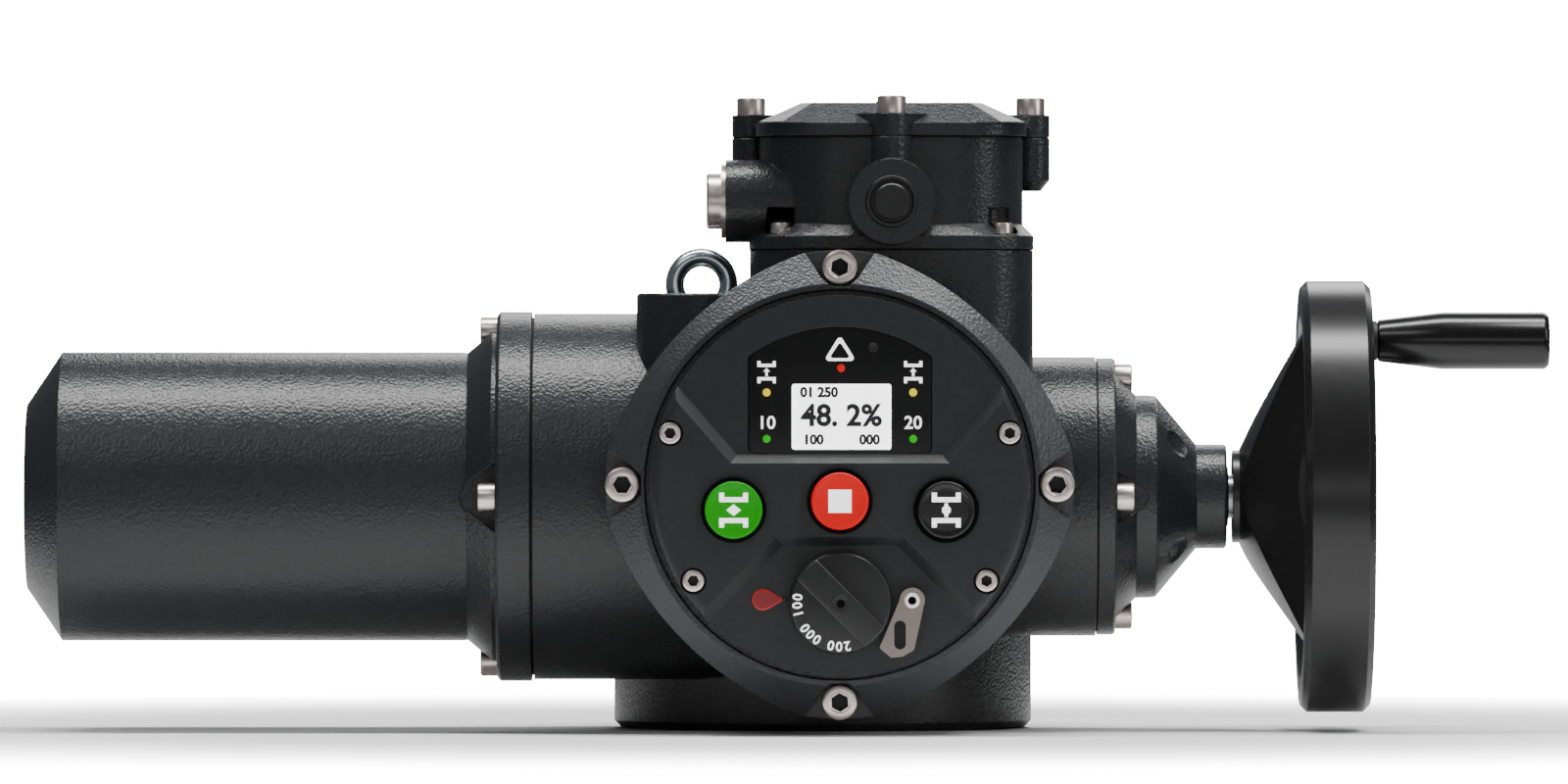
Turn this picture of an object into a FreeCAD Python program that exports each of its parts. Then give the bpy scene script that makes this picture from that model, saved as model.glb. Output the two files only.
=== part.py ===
import FreeCAD, Part
import math
import os

# Multi-turn electric actuator, in millimetres.
# Origin: centre of the bottom mounting face, on the output axis. +Z is up,
# +X points to the handwheel and the operator panel faces -Y.

Vector = FreeCAD.Vector

# Clearances
fit = 0.05
free = 0.3
seal_gap = 1.2
edge_round = 1.5

# Worm and worm wheel
gear_module = 2.5
wheel_teeth = 40
worm_pitch_radius = 20.0
pressure_angle = math.radians(20.0)
flank_play = 0.15
tooth_root_depth = 3.0
wheel_face_width = 26.0
worm_turns = 7
wheel_pitch_radius = gear_module * wheel_teeth / 2
thread_pitch = math.pi * gear_module
worm_tip_radius = worm_pitch_radius + gear_module
worm_root_radius = worm_pitch_radius - tooth_root_depth
wheel_tip_radius = wheel_pitch_radius + gear_module
wheel_root_radius = wheel_pitch_radius - tooth_root_depth

# Drive line: worm, motor and handwheel share it
drive_y = -(wheel_pitch_radius + worm_pitch_radius)
drive_z = 107.0
drive_at = (drive_y, drive_z)
output_at = (0.0, 0.0)

# Gear casing
base_radius = 96.6
base_bottom_round = 3.0
housing_top = 168.0
housing_shoulder_z = 132.0
housing_crown_radius = 70.0
wheel_bore = 55.0
wheel_bore_top = 156.0
motor_barrel_radius = 84.0
motor_barrel_end = -132.5
motor_barrel_root = -26.0
hand_barrel_radius = 64.0
hand_barrel_end = 125.0
motor_cavity_radius = 70.0
shield_step_x = -117.0
shield_step = 6.0
motor_cavity_end = -84.0
hand_cavity_radius = 44.0
worm_chamber_radius = 31.0
worm_chamber_left = -49.0
worm_chamber_right = 75.0
shaft_hole_radius = 16.0

# Output flange and drive
bolt_circle_radius = 70.0
bolt_hole_radius = 8.0
bolt_hole_depth = 30.0
drill_tip_ratio = 0.6
bolt_count = 4
sleeve_seat_radius = 35.0
sleeve_body_radius = 38.0
sleeve_shoulder_radius = 43.0
sleeve_shoulder_height = 8.0
sleeve_bottom = 4.0
sleeve_bore = 25.0
bush_radius = 28.0
bush_bottom = 2.0
bush_length = 60.0
drive_bore = 15.0
key_width = 8.0
key_depth = 3.3
output_bearing_width = 20.0
retainer_bottom = 2.0
retainer_top = 14.0
seal_outer_radius = 42.5
seal_width = 8.0
seal_squeeze = 0.02
retainer_lip = 2.0
plug_radius = 20.0
plug_flange_radius = 24.5
plug_depth = 10.0
plug_flange_height = 6.0
plug_square_half = 9.0
plug_square_height = 8.0
magnet_ring_radius = 46.0
magnet_ring_bottom = 52.0
magnet_ring_height = 8.0
sensor_radius = 5.0

# Worm shaft and its bearings
worm_bearing_bore = 12.5
worm_bearing_radius = 26.0
worm_bearing_width = 17.0
left_bearing_x = -66.0
right_bearing_x = 50.0
carrier_lip = 6.0
worm_shaft_end = -99.7
motor_shaft_radius = 12.0
pilot_radius = 8.0
pilot_start = 70.0
hub_start = 78.0
hub_thickness = 8.0
dog_length = 6.0
dog_radius = 22.0
dog_count = 4
dog_angle = 35.0
dog_inner_radius = 13.5
clutch_ring_length = 16.0
coupling_radius = 20.0
coupling_start = -113.0
coupling_end = -87.0

# Motor
cover_end_x = -365.4
cover_radius = 66.2
cover_inner_radius = 61.0
cover_end_radius = 42.5
cover_end_taper = 16.0
cover_end_wall = 7.0
cover_cone_start = -163.0
cover_cone_end = -151.5
cover_cone_radius = 76.5
cover_flange_radius = 84.8
cover_flange_face = -149.4
cover_flange_back = motor_barrel_end - seal_gap
cover_bolt_circle = 75.9
pocket_half_width = 15.8
pocket_depth = 16.6
pocket_floor = 65.0
stator_start = -325.0
stator_end = -195.0
stator_inner_radius = 34.6
rotor_radius = 34.0
end_turn_length = 22.0
motor_bearing_radius = 23.5
motor_bearing_width = 13.0
rear_bearing_x = -358.0
front_bearing_x = -130.0
shield_thickness = 6.0

# Cap screws: head radius, head height, shank radius, shank length
m6_screw = (5.0, 6.0, 3.0, 10.0)
m8_screw = (6.5, 8.0, 4.0, 13.0)
m10_screw = (8.0, 10.0, 5.0, 16.0)
socket_ratio = 0.46
socket_depth_ratio = 0.55

# Handwheel cover and shaft
side_flange_radius = 63.5
side_flange_face = 133.9
side_cone_radius = 57.0
side_step_radius = 46.2
side_step_start = 143.3
side_step_end = 153.4
side_neck_radius = 23.9
side_neck_start = 171.2
side_neck_end = 185.1
side_bolt_circle = 54.3
side_pocket_half_width = 12.0
side_pocket_depth = 15.0
side_pocket_floor = 46.0
scoop_radius = 13.0
scoop_lift = 10.5
hand_shaft_radius = 10.0
hand_shaft_flat = 8.5
bush_start = 158.0
bush_end = 178.0
bush_outer_radius = 14.0
shaft_seal_radius = 16.0
shaft_seal_end = 186.0
collar_radius = 15.0
collar_length = 7.0

# Handwheel and crank
rim_radius = 99.0
rim_wall = 19.0
rim_inner_radius = rim_radius - rim_wall
rim_start = 219.0
rim_end = 250.9
rim_round = 3.0
web_wall = 17.0
hub_radius = 21.3
wheel_hub_start = 187.9
wheel_hub_end = 206.0
web_start = 191.0
flat_start_distance = 22.9
flat_slope = 0.69
flat_turn = 7.0
spoke_count = 3
crank_inset = 13.0
crank_orbit = rim_radius - crank_inset
crank_drop = 14.6
crank_offset_z = crank_orbit - crank_drop
spindle_radius = 5.0
spindle_shoulder_radius = 9.0
spindle_start = 236.0
spindle_end = 318.0
grip_start = 253.0
grip_end = 331.3
grip_neck_radius = 9.6
grip_radius = 13.0
grip_swell_x = 281.0
wheel_screw_head = (8.0, 6.0, 4.0, 18.0)
wheel_washer_radius = 13.0
wheel_washer_thickness = 2.0

# Front compartment, control cover and operator panel
panel_x = 7.3
panel_z = 113.0
panel_at = (panel_x, panel_z)
panel_radius = 85.8
panel_gap = 2.7
control_groove_radius = panel_radius + panel_gap
groove_wall = 2.5
control_ring_radius = control_groove_radius + groove_wall
front_barrel_margin = 7.0
front_barrel_radius = control_ring_radius + front_barrel_margin
front_barrel_back = -60.0
front_face = -165.0
front_wall = 10.0
front_cavity_radius = front_barrel_radius - front_wall
front_cavity_back = -126.0
control_cover_back = front_face - seal_gap
control_cover_margin = 9.0
control_cover_radius = control_ring_radius + control_cover_margin
control_corner_margin = 15.0
control_corner_radius = control_ring_radius + control_corner_margin
control_cover_edge = -172.5
control_cover_front = -184.0
lug_radius = 14.0
lug_margin = 15.3
lug_reach = control_ring_radius + lug_margin
control_bolt_margin = 7.5
control_bolt_circle = control_ring_radius + control_bolt_margin
pad_outer_half_width = 17.4
pad_inner_half_width = 8.5
panel_seat = -181.0
panel_rim_wall = 9.8
panel_hole_radius = panel_radius - panel_rim_wall
panel_band_face = -200.0
recess_depth = 4.0
recess_side_slope = 0.8
panel_wall = 4.0
panel_edge_round = 4.0
display_recess_z = 9.7
display_recess_half_width = 49.5
display_recess_inset = 9.3
display_recess_rim_x = panel_radius - display_recess_inset
display_recess_rim_z = 40.7
knob_recess_z = -23.4
knob_recess_half_width = 28.8
knob_recess_inset = 23.3
knob_recess_rim_x = panel_radius - knob_recess_inset
knob_recess_rim_z = -57.5
panel_screw_upper = (panel_radius - 9.1, 23.4)
panel_screw_lower = (panel_radius - 19.6, -43.3)
window_half_width = 41.5
window_bottom = 14.4
window_inset = 14.5
window_arc_radius = panel_radius - window_inset
window_thickness = 3.0
window_ledge = 1.2
window_corner = 2.5
lcd_left = -21.7
lcd_bottom = 16.0
lcd_width = 44.9
lcd_height = 29.5
lamp_radius = 1.8
lamp_side_x = 33.1
lamp_upper_z = 41.8
lamp_lower_z = 20.8
fault_lamp_x = 0.5
fault_lamp_z = 52.8
board_face = -184.6
board_thickness = 1.6
board_inset = 13.8
board_radius = panel_radius - board_inset
board_post_circle = board_radius - 8
button_side_x = 48.0
button_side_z = -11.3
stop_button_z = -7.3
button_radius = 13.0
button_ring_radius = 14.8
button_ring_height = 2.0
button_height = 3.4
button_travel = 2.0
button_pocket_depth = 6.0
button_stem_radius = 4.0
button_stem_depth = 10.0
switch_radius = 3.0
knob_at = (0.3, -53.3)
knob_disc_radius = 23.0
knob_disc_thickness = 6.7
knob_bar_width = 12.7
knob_bar_height = 15.0
knob_shaft_radius = 6.0
hasp_pivot = (32.6, -52.1)
hasp_thickness = 2.0
hasp_lift = 0.5
hasp_rivet_radius = 3.5
hasp_outline = ((-5.8, 0.0), (5.8, 0.0), (0.9, -22.4), (-4.5, -25.4), (-9.5, -25.9), (-14.9, -21.4))
hasp_slot_width = 5.1
hasp_slot_height = 13.0
hasp_slot_at = (27.1, -67.7)
pointer_at = (-34.8, -51.8)
pointer_radius = 4.9
pointer_tip = 9.8
pointer_thickness = 1.0

# Boards in the front compartment
logic_board_gap = 10.0
logic_board_radius = front_cavity_radius - logic_board_gap
# Chips on the logic board as shares of its radius: x, z, width, height, depth
board_chips = [
    (-0.51, 0.26, 0.31, 0.31, 0.04),
    (0.0, 0.38, 0.18, 0.26, 0.03),
    (0.51, 0.26, 0.23, 0.15, 0.12),
    (-0.45, -0.38, 0.38, 0.15, 0.12),
    (0.26, -0.51, 0.21, 0.21, 0.04),
]
logic_board_back = -148.4
post_radius = 4.0
post_circle = 68.0
supply_size = (46.0, 14.0, 38.0)

# Terminal column, housing and lid
column_at = (31.0, -90.0)
column_half = 64.5
column_corner = 28.0
column_top = 219.5
column_bottom = 107.0
column_cavity_radius = 52.0
column_cavity_floor = 178.0
terminal_seal = 0.6
flange_half = 64.8
flange_thickness = 6.0
terminal_half = 60.0
terminal_corner = 36.0
terminal_cavity_corner = 36.0
terminal_wall = 6.0
shoulder_height = 5.2
terminal_top = 271.1
terminal_bolt_offset = 50.3
bolt_pocket_radius = 7.0
bolt_pocket_height = 13.0
lid_half = 61.8
lid_corner = 30.0
lid_corner_cut = 11.0
lid_edge_rise = 5.9
lid_pad_rise = 10.0
lid_rise = 15.2
lid_top_half = 41.0
lid_top_corner_cut = 5.0
lid_seat = terminal_top + terminal_seal
lid_edge_top = lid_seat + lid_edge_rise
lid_pad_top = lid_seat + lid_pad_rise
lid_top = lid_seat + lid_rise
lid_boss_radius = 8.7
lid_bolt_circle = 64.0
lid_boss_bottom = 252.0
lid_flare_depth = 11.0
lid_flare_half_width = 18.0
lid_flare_lift = 4.0
entry_side_radius = 18.8
entry_side_z = 242.0
entry_side_y = -125.0
entry_side_face = -44.6
entry_front_radius = 19.5
entry_front_z = 241.5
entry_front_face = -164.0
entry_bore = 11.9
plug_head_radius = 12.7
plug_washer_radius = 16.8
plug_head_height = 6.7
plug_thread_length = 14.0
front_plug_disc_radius = 8.2
terminal_block_radius = 44.0
terminal_block_height = 20.0
terminal_floor_hole = 38.0
stud_circle_radius = 36.0
stud_radius = 2.2
stud_height = 5.0
stud_count = 12

# Eyebolt and its boss
eye_x = -55.7
eye_boss_radius = 29.5
eye_boss_back_y = -70.0
eye_boss_front_y = -115.0
eye_boss_top = 200.0
eye_recess_radius = 20.0
eye_seat = 186.0
eye_y = (eye_boss_back_y + eye_boss_front_y) / 2
eye_section_radius = 4.0
eye_ring_radius = 13.5
eye_centre_z = 204.5
eye_collar_radius = 10.0
eye_shank_radius = 4.0
eye_shank_length = 13.0

AXES = {"x": Vector(1, 0, 0), "y": Vector(0, 1, 0), "z": Vector(0, 0, 1)}
SIDES = {"x": Vector(0, 1, 0), "y": Vector(1, 0, 0), "z": Vector(1, 0, 0)}


def spot(axis, along, at):
    """The point that lies `along` the axis through the cross position `at`."""
    if axis == "x":
        return Vector(along, at[0], at[1])
    if axis == "y":
        return Vector(at[0], along, at[1])
    return Vector(at[0], at[1], along)


def rod(axis, radius, start, end, at):
    """A cylinder along an axis."""
    low = min(start, end)
    return Part.makeCylinder(radius, abs(end - start), spot(axis, low, at), AXES[axis])


def tube(axis, outer, inner, start, end, at):
    """A hollow cylinder along an axis."""
    return rod(axis, outer, start, end, at).cut(rod(axis, inner, start, end, at))


def turned(axis, outline, at):
    """A turned piece from (along, radius) points."""
    points = [spot(axis, along, at) + SIDES[axis] * radius for along, radius in outline]
    face = Part.Face(Part.makePolygon(points + [points[0]]))
    solid = face.revolve(spot(axis, 0, at), AXES[axis], 360)
    if solid.Volume < 0:
        solid.reverse()
    return solid


def block(x, y, z):
    """A box from three (low, high) pairs."""
    corner = Vector(min(x), min(y), min(z))
    return Part.makeBox(abs(x[1] - x[0]), abs(y[1] - y[0]), abs(z[1] - z[0]), corner)


def prism(points, travel):
    """A straight prism from corner points."""
    face = Part.Face(Part.makePolygon(points + [points[0]]))
    return face.extrude(travel)


def joined(shapes):
    """All the shapes as one body."""
    return shapes[0].multiFuse(shapes[1:]).removeSplitter()


def around(shape, axis, at, angles):
    """A copy of the shape at each angle about an axis."""
    copies = []
    for angle in angles:
        copy = shape.copy()
        copy.rotate(spot(axis, 0, at), AXES[axis], angle)
        copies.append(copy)
    return copies


def softened(shape, radius, test):
    """Rounds the edges whose centre passes the test."""
    edges = [edge for edge in shape.Edges if test(edge)]
    return shape.makeFillet(radius, edges)


def cap_screw(axis, sign, seat, at, size):
    """A socket cap screw whose head stands on `seat`, on the `sign` side."""
    head_radius, head_height, shank_radius, shank_length = size
    top = seat + sign * head_height
    chamfer = head_height * 0.12
    outline = [
        (top, 0),
        (top, head_radius - chamfer),
        (top - sign * chamfer, head_radius),
        (seat, head_radius),
        (seat, shank_radius),
        (seat - sign * shank_length, shank_radius),
        (seat - sign * shank_length, 0),
    ]
    screw = turned(axis, outline, at)
    across = head_radius * socket_ratio
    corners = []
    for step in range(6):
        turn = math.radians(60 * step)
        u = across * math.cos(turn)
        v = across * math.sin(turn)
        corners.append(spot(axis, top, (at[0] + u, at[1] + v)))
    depth = head_height * socket_depth_ratio
    return screw.cut(prism(corners, AXES[axis] * (-sign * depth)))


def ring_places(radius, at, start=0.0, count=4):
    """Cross positions evenly spaced on a circle."""
    places = []
    for step in range(count):
        turn = math.radians(start + 360 * step / count)
        places.append((at[0] + radius * math.cos(turn), at[1] + radius * math.sin(turn)))
    return places


def rounded_square(half, corner, z, at):
    """A horizontal square wire with round corners."""
    inner = half - corner
    cut = corner * (1 - math.sqrt(0.5))
    edges = []
    for quarter in range(4):
        turn = FreeCAD.Rotation(AXES["z"], 90 * quarter)
        points = [
            Vector(half, -inner, 0),
            Vector(half, inner, 0),
            Vector(half - cut, half - cut, 0),
            Vector(inner, half, 0),
        ]
        side = [turn.multVec(point) + Vector(at[0], at[1], z) for point in points]
        edges.append(Part.LineSegment(side[0], side[1]).toShape())
        edges.append(Part.Arc(side[1], side[2], side[3]).toShape())
    return Part.Wire(Part.__sortEdges__(edges))


def square_prism(half, corner, low, high, at):
    """An upright prism on a rounded square."""
    return Part.Face(rounded_square(half, corner, low, at)).extrude(Vector(0, 0, high - low))


def cut_square(half, cut, z, at):
    """An upright square wire with its corners cut off."""
    corners = []
    for quarter in range(4):
        turn = FreeCAD.Rotation(AXES["z"], 90 * quarter)
        for point in (Vector(half, -half + cut, 0), Vector(half, half - cut, 0)):
            corners.append(turn.multVec(point) + Vector(at[0], at[1], z))
    return Part.makePolygon(corners + [corners[0]])


def screwed_solid(profile, height, angle):
    """Extrudes a flat profile along +Z while it turns through an angle."""
    pitch = height * 360 / abs(angle)
    spine = Part.makeHelix(pitch, height, 10.0, 0, angle < 0)
    pipe = Part.BRepOffsetAPI.MakePipeShell(spine)
    pipe.setFrenetMode(True)
    pipe.add(profile, False, False)
    pipe.build()
    pipe.makeSolid()
    return pipe.shape()


def polar(radius, angle):
    """A point of a flat profile at an angle in radians."""
    return Vector(radius * math.cos(angle), radius * math.sin(angle), 0)


def smooth_edge(points):
    """A spline through the points."""
    curve = Part.BSplineCurve()
    curve.interpolate(points)
    return curve.toShape()


def arc_edge(radius, start, end):
    """A profile arc about the origin, angles in radians."""
    middle = (start + end) / 2
    return Part.Arc(polar(radius, start), polar(radius, middle), polar(radius, end)).toShape()


def involute(angle):
    return math.tan(angle) - angle


def wheel_half_angle(radius):
    """Half the angle that a wheel tooth fills at a radius."""
    base = wheel_pitch_radius * math.cos(pressure_angle)
    half_at_pitch = (thread_pitch / 4 - flank_play) / wheel_pitch_radius
    local = math.acos(min(1.0, base / radius))
    return half_at_pitch + involute(pressure_angle) - involute(local)


def wheel_profile(first_angle):
    """The toothed outline of the worm wheel."""
    step = 2 * math.pi / wheel_teeth
    radii = [wheel_root_radius + (wheel_tip_radius - wheel_root_radius) * part / 3 for part in range(4)]
    root_half = wheel_half_angle(wheel_root_radius)
    tip_half = wheel_half_angle(wheel_tip_radius)
    edges = []
    for tooth in range(wheel_teeth):
        middle = first_angle + step * tooth
        rising = [polar(radius, middle - wheel_half_angle(radius)) for radius in radii]
        falling = [polar(radius, middle + wheel_half_angle(radius)) for radius in reversed(radii)]
        edges.append(smooth_edge(rising))
        edges.append(arc_edge(wheel_tip_radius, middle - tip_half, middle + tip_half))
        edges.append(smooth_edge(falling))
        edges.append(arc_edge(wheel_root_radius, middle + root_half, middle + step - root_half))
    return Part.Wire(edges)


def worm_profile(crest_angle):
    """The cross-section of a single-start worm, square to its axis."""
    half_pitch_width = thread_pitch / 4 - flank_play
    slope = math.tan(pressure_angle)
    count = 9

    def half_angle(radius):
        width = half_pitch_width - (radius - worm_pitch_radius) * slope
        return 2 * math.pi * width / thread_pitch

    depth = worm_tip_radius - worm_root_radius
    radii = [worm_root_radius + depth * part / (count - 1) for part in range(count)]
    rising = [polar(radius, crest_angle - half_angle(radius)) for radius in radii]
    falling = [polar(radius, crest_angle + half_angle(radius)) for radius in reversed(radii)]
    tip_half = half_angle(worm_tip_radius)
    root_half = half_angle(worm_root_radius)
    root_end = crest_angle + 2 * math.pi - root_half
    edges = [
        smooth_edge(rising),
        arc_edge(worm_tip_radius, crest_angle - tip_half, crest_angle + tip_half),
        smooth_edge(falling),
        arc_edge(worm_root_radius, crest_angle + root_half, root_end),
    ]
    return Part.Wire(edges)


def worm_thread():
    """The threaded length, centred on the output axis, with a crest facing the wheel."""
    length = worm_turns * thread_pitch
    start_turn = 360 * (-length / 2) / thread_pitch
    crest = math.radians(90 + start_turn)
    thread = screwed_solid(worm_profile(crest), length, 360 * worm_turns)
    thread.translate(Vector(0, 0, -length / 2))
    thread.rotate(Vector(0, 0, 0), AXES["y"], 90)
    thread.translate(Vector(0, drive_y, drive_z))
    return thread


def worm_shaft():
    length = worm_turns * thread_pitch
    seat = worm_bearing_bore - fit
    left_face = left_bearing_x + worm_bearing_width
    right_face = right_bearing_x + worm_bearing_width
    left = [
        (worm_shaft_end, 0),
        (worm_shaft_end, motor_shaft_radius),
        (left_bearing_x - free, motor_shaft_radius),
        (left_bearing_x - free, seat),
        (left_face + free, seat),
        (left_face + free, worm_root_radius),
        (-length / 2, worm_root_radius),
        (-length / 2, 0),
    ]
    hub_end = hub_start + hub_thickness
    right = [
        (length / 2, 0),
        (length / 2, seat),
        (hub_end, seat),
        (hub_end, pilot_radius + fit),
        (min(pilot_start, right_face + 3), pilot_radius + fit),
        (min(pilot_start, right_face + 3), 0),
    ]
    return turned("x", left, drive_at).fuse(worm_thread()).fuse(turned("x", right, drive_at))


def torque_spring_pack():
    """Disc springs stacked in pairs between the worm and its bearing."""
    start = worm_turns * thread_pitch / 2 + 0.1
    end = right_bearing_x - free
    pairs = 5
    step = (end - start) / pairs
    inner = worm_bearing_bore
    outer = worm_bearing_radius - 3.0
    lean = step * 0.22
    outline = [(start, inner)]
    for pair in range(pairs):
        base = start + pair * step
        outline.append((base, inner + 2.0))
        outline.append((base + lean, outer))
        outline.append((base + step - lean, outer))
        outline.append((base + step, inner + 2.0))
    outline.append((end, inner))
    return turned("x", outline, drive_at)


def dog_ring(start, end, turn):
    """The driving dogs of one clutch half."""
    ring = tube("x", dog_radius, dog_inner_radius, start, end, drive_at)
    half = math.radians(dog_angle / 2)
    reach = dog_radius * 2
    corners = [(0, 0), (reach * math.cos(half), -reach * math.sin(half))]
    corners.append((reach * math.cos(half), reach * math.sin(half)))
    points = [Vector(start, drive_y + u, drive_z + v) for u, v in corners]
    wedge = prism(points, Vector(end - start, 0, 0))
    angles = [turn + 360 * step / dog_count for step in range(dog_count)]
    wedges = around(wedge, "x", drive_at, angles)
    return [ring.common(one) for one in wedges]


def clutch_hub():
    end = hub_start + hub_thickness
    disc = tube("x", dog_radius, worm_bearing_bore, hub_start, end, drive_at)
    return joined([disc] + dog_ring(end, end + dog_length, 0))


def clutch_ring():
    """Slides on the two flats of the handwheel shaft."""
    hub_end = hub_start + hub_thickness
    start = hub_end + dog_length + free
    end = start + clutch_ring_length
    body = rod("x", dog_radius, start, end, drive_at)
    groove = tube("x", dog_radius + 1, dog_radius - 3, start + 5, end - 5, drive_at)
    bore = rod("x", hand_shaft_radius + free, start - 1, end + 1, drive_at)
    half = hand_shaft_flat + free
    slab = block((start - 1, end + 1), (drive_y - half, drive_y + half),
                 (drive_z - dog_radius, drive_z + dog_radius))
    body = body.cut(groove).cut(bore.common(slab))
    return joined([body] + dog_ring(hub_end + free, start, 180 / dog_count))


def shaft_coupling():
    body = tube("x", coupling_radius, motor_shaft_radius + fit, coupling_start, coupling_end, drive_at)
    middle = (coupling_start + coupling_end) / 2
    groove = tube("x", coupling_radius + 1, coupling_radius - 3, middle - 3, middle + 3, drive_at)
    return body.cut(groove)


def motor_rotor():
    """Squirrel-cage rotor on its shaft."""
    shaft_start = rear_bearing_x + 1
    shaft_end = worm_shaft_end - free
    outline = [
        (shaft_start, 0),
        (shaft_start, motor_shaft_radius),
        (stator_start, motor_shaft_radius),
        (stator_start, rotor_radius),
        (stator_end, rotor_radius),
        (stator_end, motor_shaft_radius),
        (shaft_end, motor_shaft_radius),
        (shaft_end, 0),
    ]
    ring_in = rotor_radius - 12
    fans = [tube("x", rotor_radius - 2, ring_in, stator_start - 8, stator_start, drive_at)]
    fans.append(tube("x", rotor_radius - 2, ring_in, stator_end, stator_end + 8, drive_at))
    return joined([turned("x", outline, drive_at)] + fans)


def motor_stator():
    outer = cover_inner_radius - 0.1
    return tube("x", outer, stator_inner_radius, stator_start, stator_end, drive_at)


def stator_winding():
    """The two bundles of wire that bulge past the stator."""
    inner = stator_inner_radius + 4
    outer = cover_inner_radius - 4
    turns = []
    for face, sign in ((stator_start, -1), (stator_end, 1)):
        tip = face + sign * end_turn_length
        shoulder = face + sign * end_turn_length * 0.6
        outline = [(face, inner), (face, outer), (shoulder, outer), (tip, outer - 5)]
        outline += [(tip, inner + 5), (shoulder, inner)]
        turns.append(turned("x", outline, drive_at))
    return Part.makeCompound(turns)


def ball_bearing(axis, bore, outer, start, width, at):
    """A shielded bearing: inner race, shield groove and outer race in one ring."""
    wall = (outer - bore) / 4
    dip = width * 0.08
    end = start + width
    outline = [
        (start, bore),
        (start, bore + wall),
        (start + dip, bore + wall),
        (start + dip, outer - wall),
        (start, outer - wall),
        (start, outer),
        (end, outer),
        (end, outer - wall),
        (end - dip, outer - wall),
        (end - dip, bore + wall),
        (end, bore + wall),
        (end, bore),
    ]
    return turned(axis, outline, at)


def motor_bearings():
    bore = motor_shaft_radius + fit
    starts = (rear_bearing_x, front_bearing_x)
    outer = motor_bearing_radius
    width = motor_bearing_width
    return Part.makeCompound([ball_bearing("x", bore, outer, start, width, drive_at) for start in starts])


def worm_bearings():
    outer = worm_bearing_radius - fit
    width = worm_bearing_width
    starts = (left_bearing_x, right_bearing_x)
    bearings = [ball_bearing("x", worm_bearing_bore, outer, start, width, drive_at) for start in starts]
    return Part.makeCompound(bearings)


def worm_bearing_carrier():
    """Threaded ring that carries the right-hand worm bearing."""
    start = right_bearing_x
    bearing_end = start + worm_bearing_width
    end = bearing_end + carrier_lip
    outline = [
        (start, worm_bearing_radius),
        (start, worm_chamber_radius - fit),
        (end, worm_chamber_radius - fit),
        (end, worm_bearing_bore + 5),
        (bearing_end, worm_bearing_bore + 5),
        (bearing_end, worm_bearing_radius),
    ]
    return turned("x", outline, drive_at)


def motor_end_shield():
    """Dished plate in the mouth of the casing that carries the front bearing."""
    outer = motor_cavity_radius - 0.1
    bearing = motor_bearing_radius + fit
    hub = motor_bearing_radius + 7
    mouth = motor_barrel_end + 0.2
    back = front_bearing_x + motor_bearing_width
    web = back - shield_thickness
    outline = [
        (mouth, outer),
        (back, outer),
        (back, bearing),
        (front_bearing_x, bearing),
        (front_bearing_x, hub),
        (web, hub + 2),
        (web, outer - 9),
        (mouth, outer - 7),
    ]
    return turned("x", outline, drive_at)


def vee_pockets(axis, face, depth, half_width, floor, reach, at):
    """V-shaped pockets at the four cover screws, cut down to a floor radius."""
    sign = 1 if depth > 0 else -1
    tip = face + depth
    apex = half_width * 0.35
    points = [
        spot(axis, face, (at[0] - half_width, at[1])),
        spot(axis, face, (at[0] + half_width, at[1])),
        spot(axis, tip - 2 * sign, (at[0] + apex, at[1])),
        spot(axis, tip, (at[0], at[1])),
        spot(axis, tip - 2 * sign, (at[0] - apex, at[1])),
    ]
    pocket = prism(points, Vector(0, 0, reach - floor))
    pocket.translate(Vector(0, 0, floor))
    return around(pocket, axis, at, [0, 90, 180, 270])


def motor_cover():
    boss = motor_bearing_radius + 6
    inner_end = cover_end_x + cover_end_wall
    taper_end = cover_end_x + cover_end_taper
    outline = [
        (cover_end_x, 0),
        (cover_end_x, cover_end_radius),
        (taper_end, cover_radius),
        (cover_cone_start, cover_radius),
        (cover_cone_end, cover_cone_radius),
        (cover_flange_face, cover_cone_radius),
        (cover_flange_face, cover_flange_radius - edge_round),
        (cover_flange_face + edge_round, cover_flange_radius),
        (cover_flange_back, cover_flange_radius),
        (cover_flange_back, cover_inner_radius),
        (taper_end + 2, cover_inner_radius),
        (inner_end, cover_end_radius - 3),
        (inner_end, boss),
        (rear_bearing_x + motor_bearing_width, boss),
        (rear_bearing_x + motor_bearing_width, motor_bearing_radius + fit),
        (inner_end, motor_bearing_radius + fit),
        (inner_end, 0),
    ]
    cover = turned("x", outline, drive_at)
    face = cover_flange_face
    pockets = vee_pockets("x", face, -pocket_depth, pocket_half_width, pocket_floor,
                          cover_flange_radius + 2, drive_at)
    holes = [rod("x", m8_screw[2] + fit, face - 20, cover_flange_back + 1, at)
             for at in ring_places(cover_bolt_circle, drive_at)]
    return cover.cut(pockets + holes)


def motor_cover_bolts():
    places = ring_places(cover_bolt_circle, drive_at)
    return Part.makeCompound([cap_screw("x", -1, cover_flange_face, at, long_m8()) for at in places])


def long_m8():
    """The cover screw, long enough to pass the flange and bite in the casing."""
    head_radius, head_height, shank_radius, shank_length = m8_screw
    flange = cover_flange_back - cover_flange_face
    return (head_radius, head_height, shank_radius, shank_length + flange)


def side_cover_screw():
    head_radius, head_height, shank_radius, shank_length = m8_screw
    return (head_radius, head_height, shank_radius, shank_length + side_flange_face - hand_barrel_end)


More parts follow.
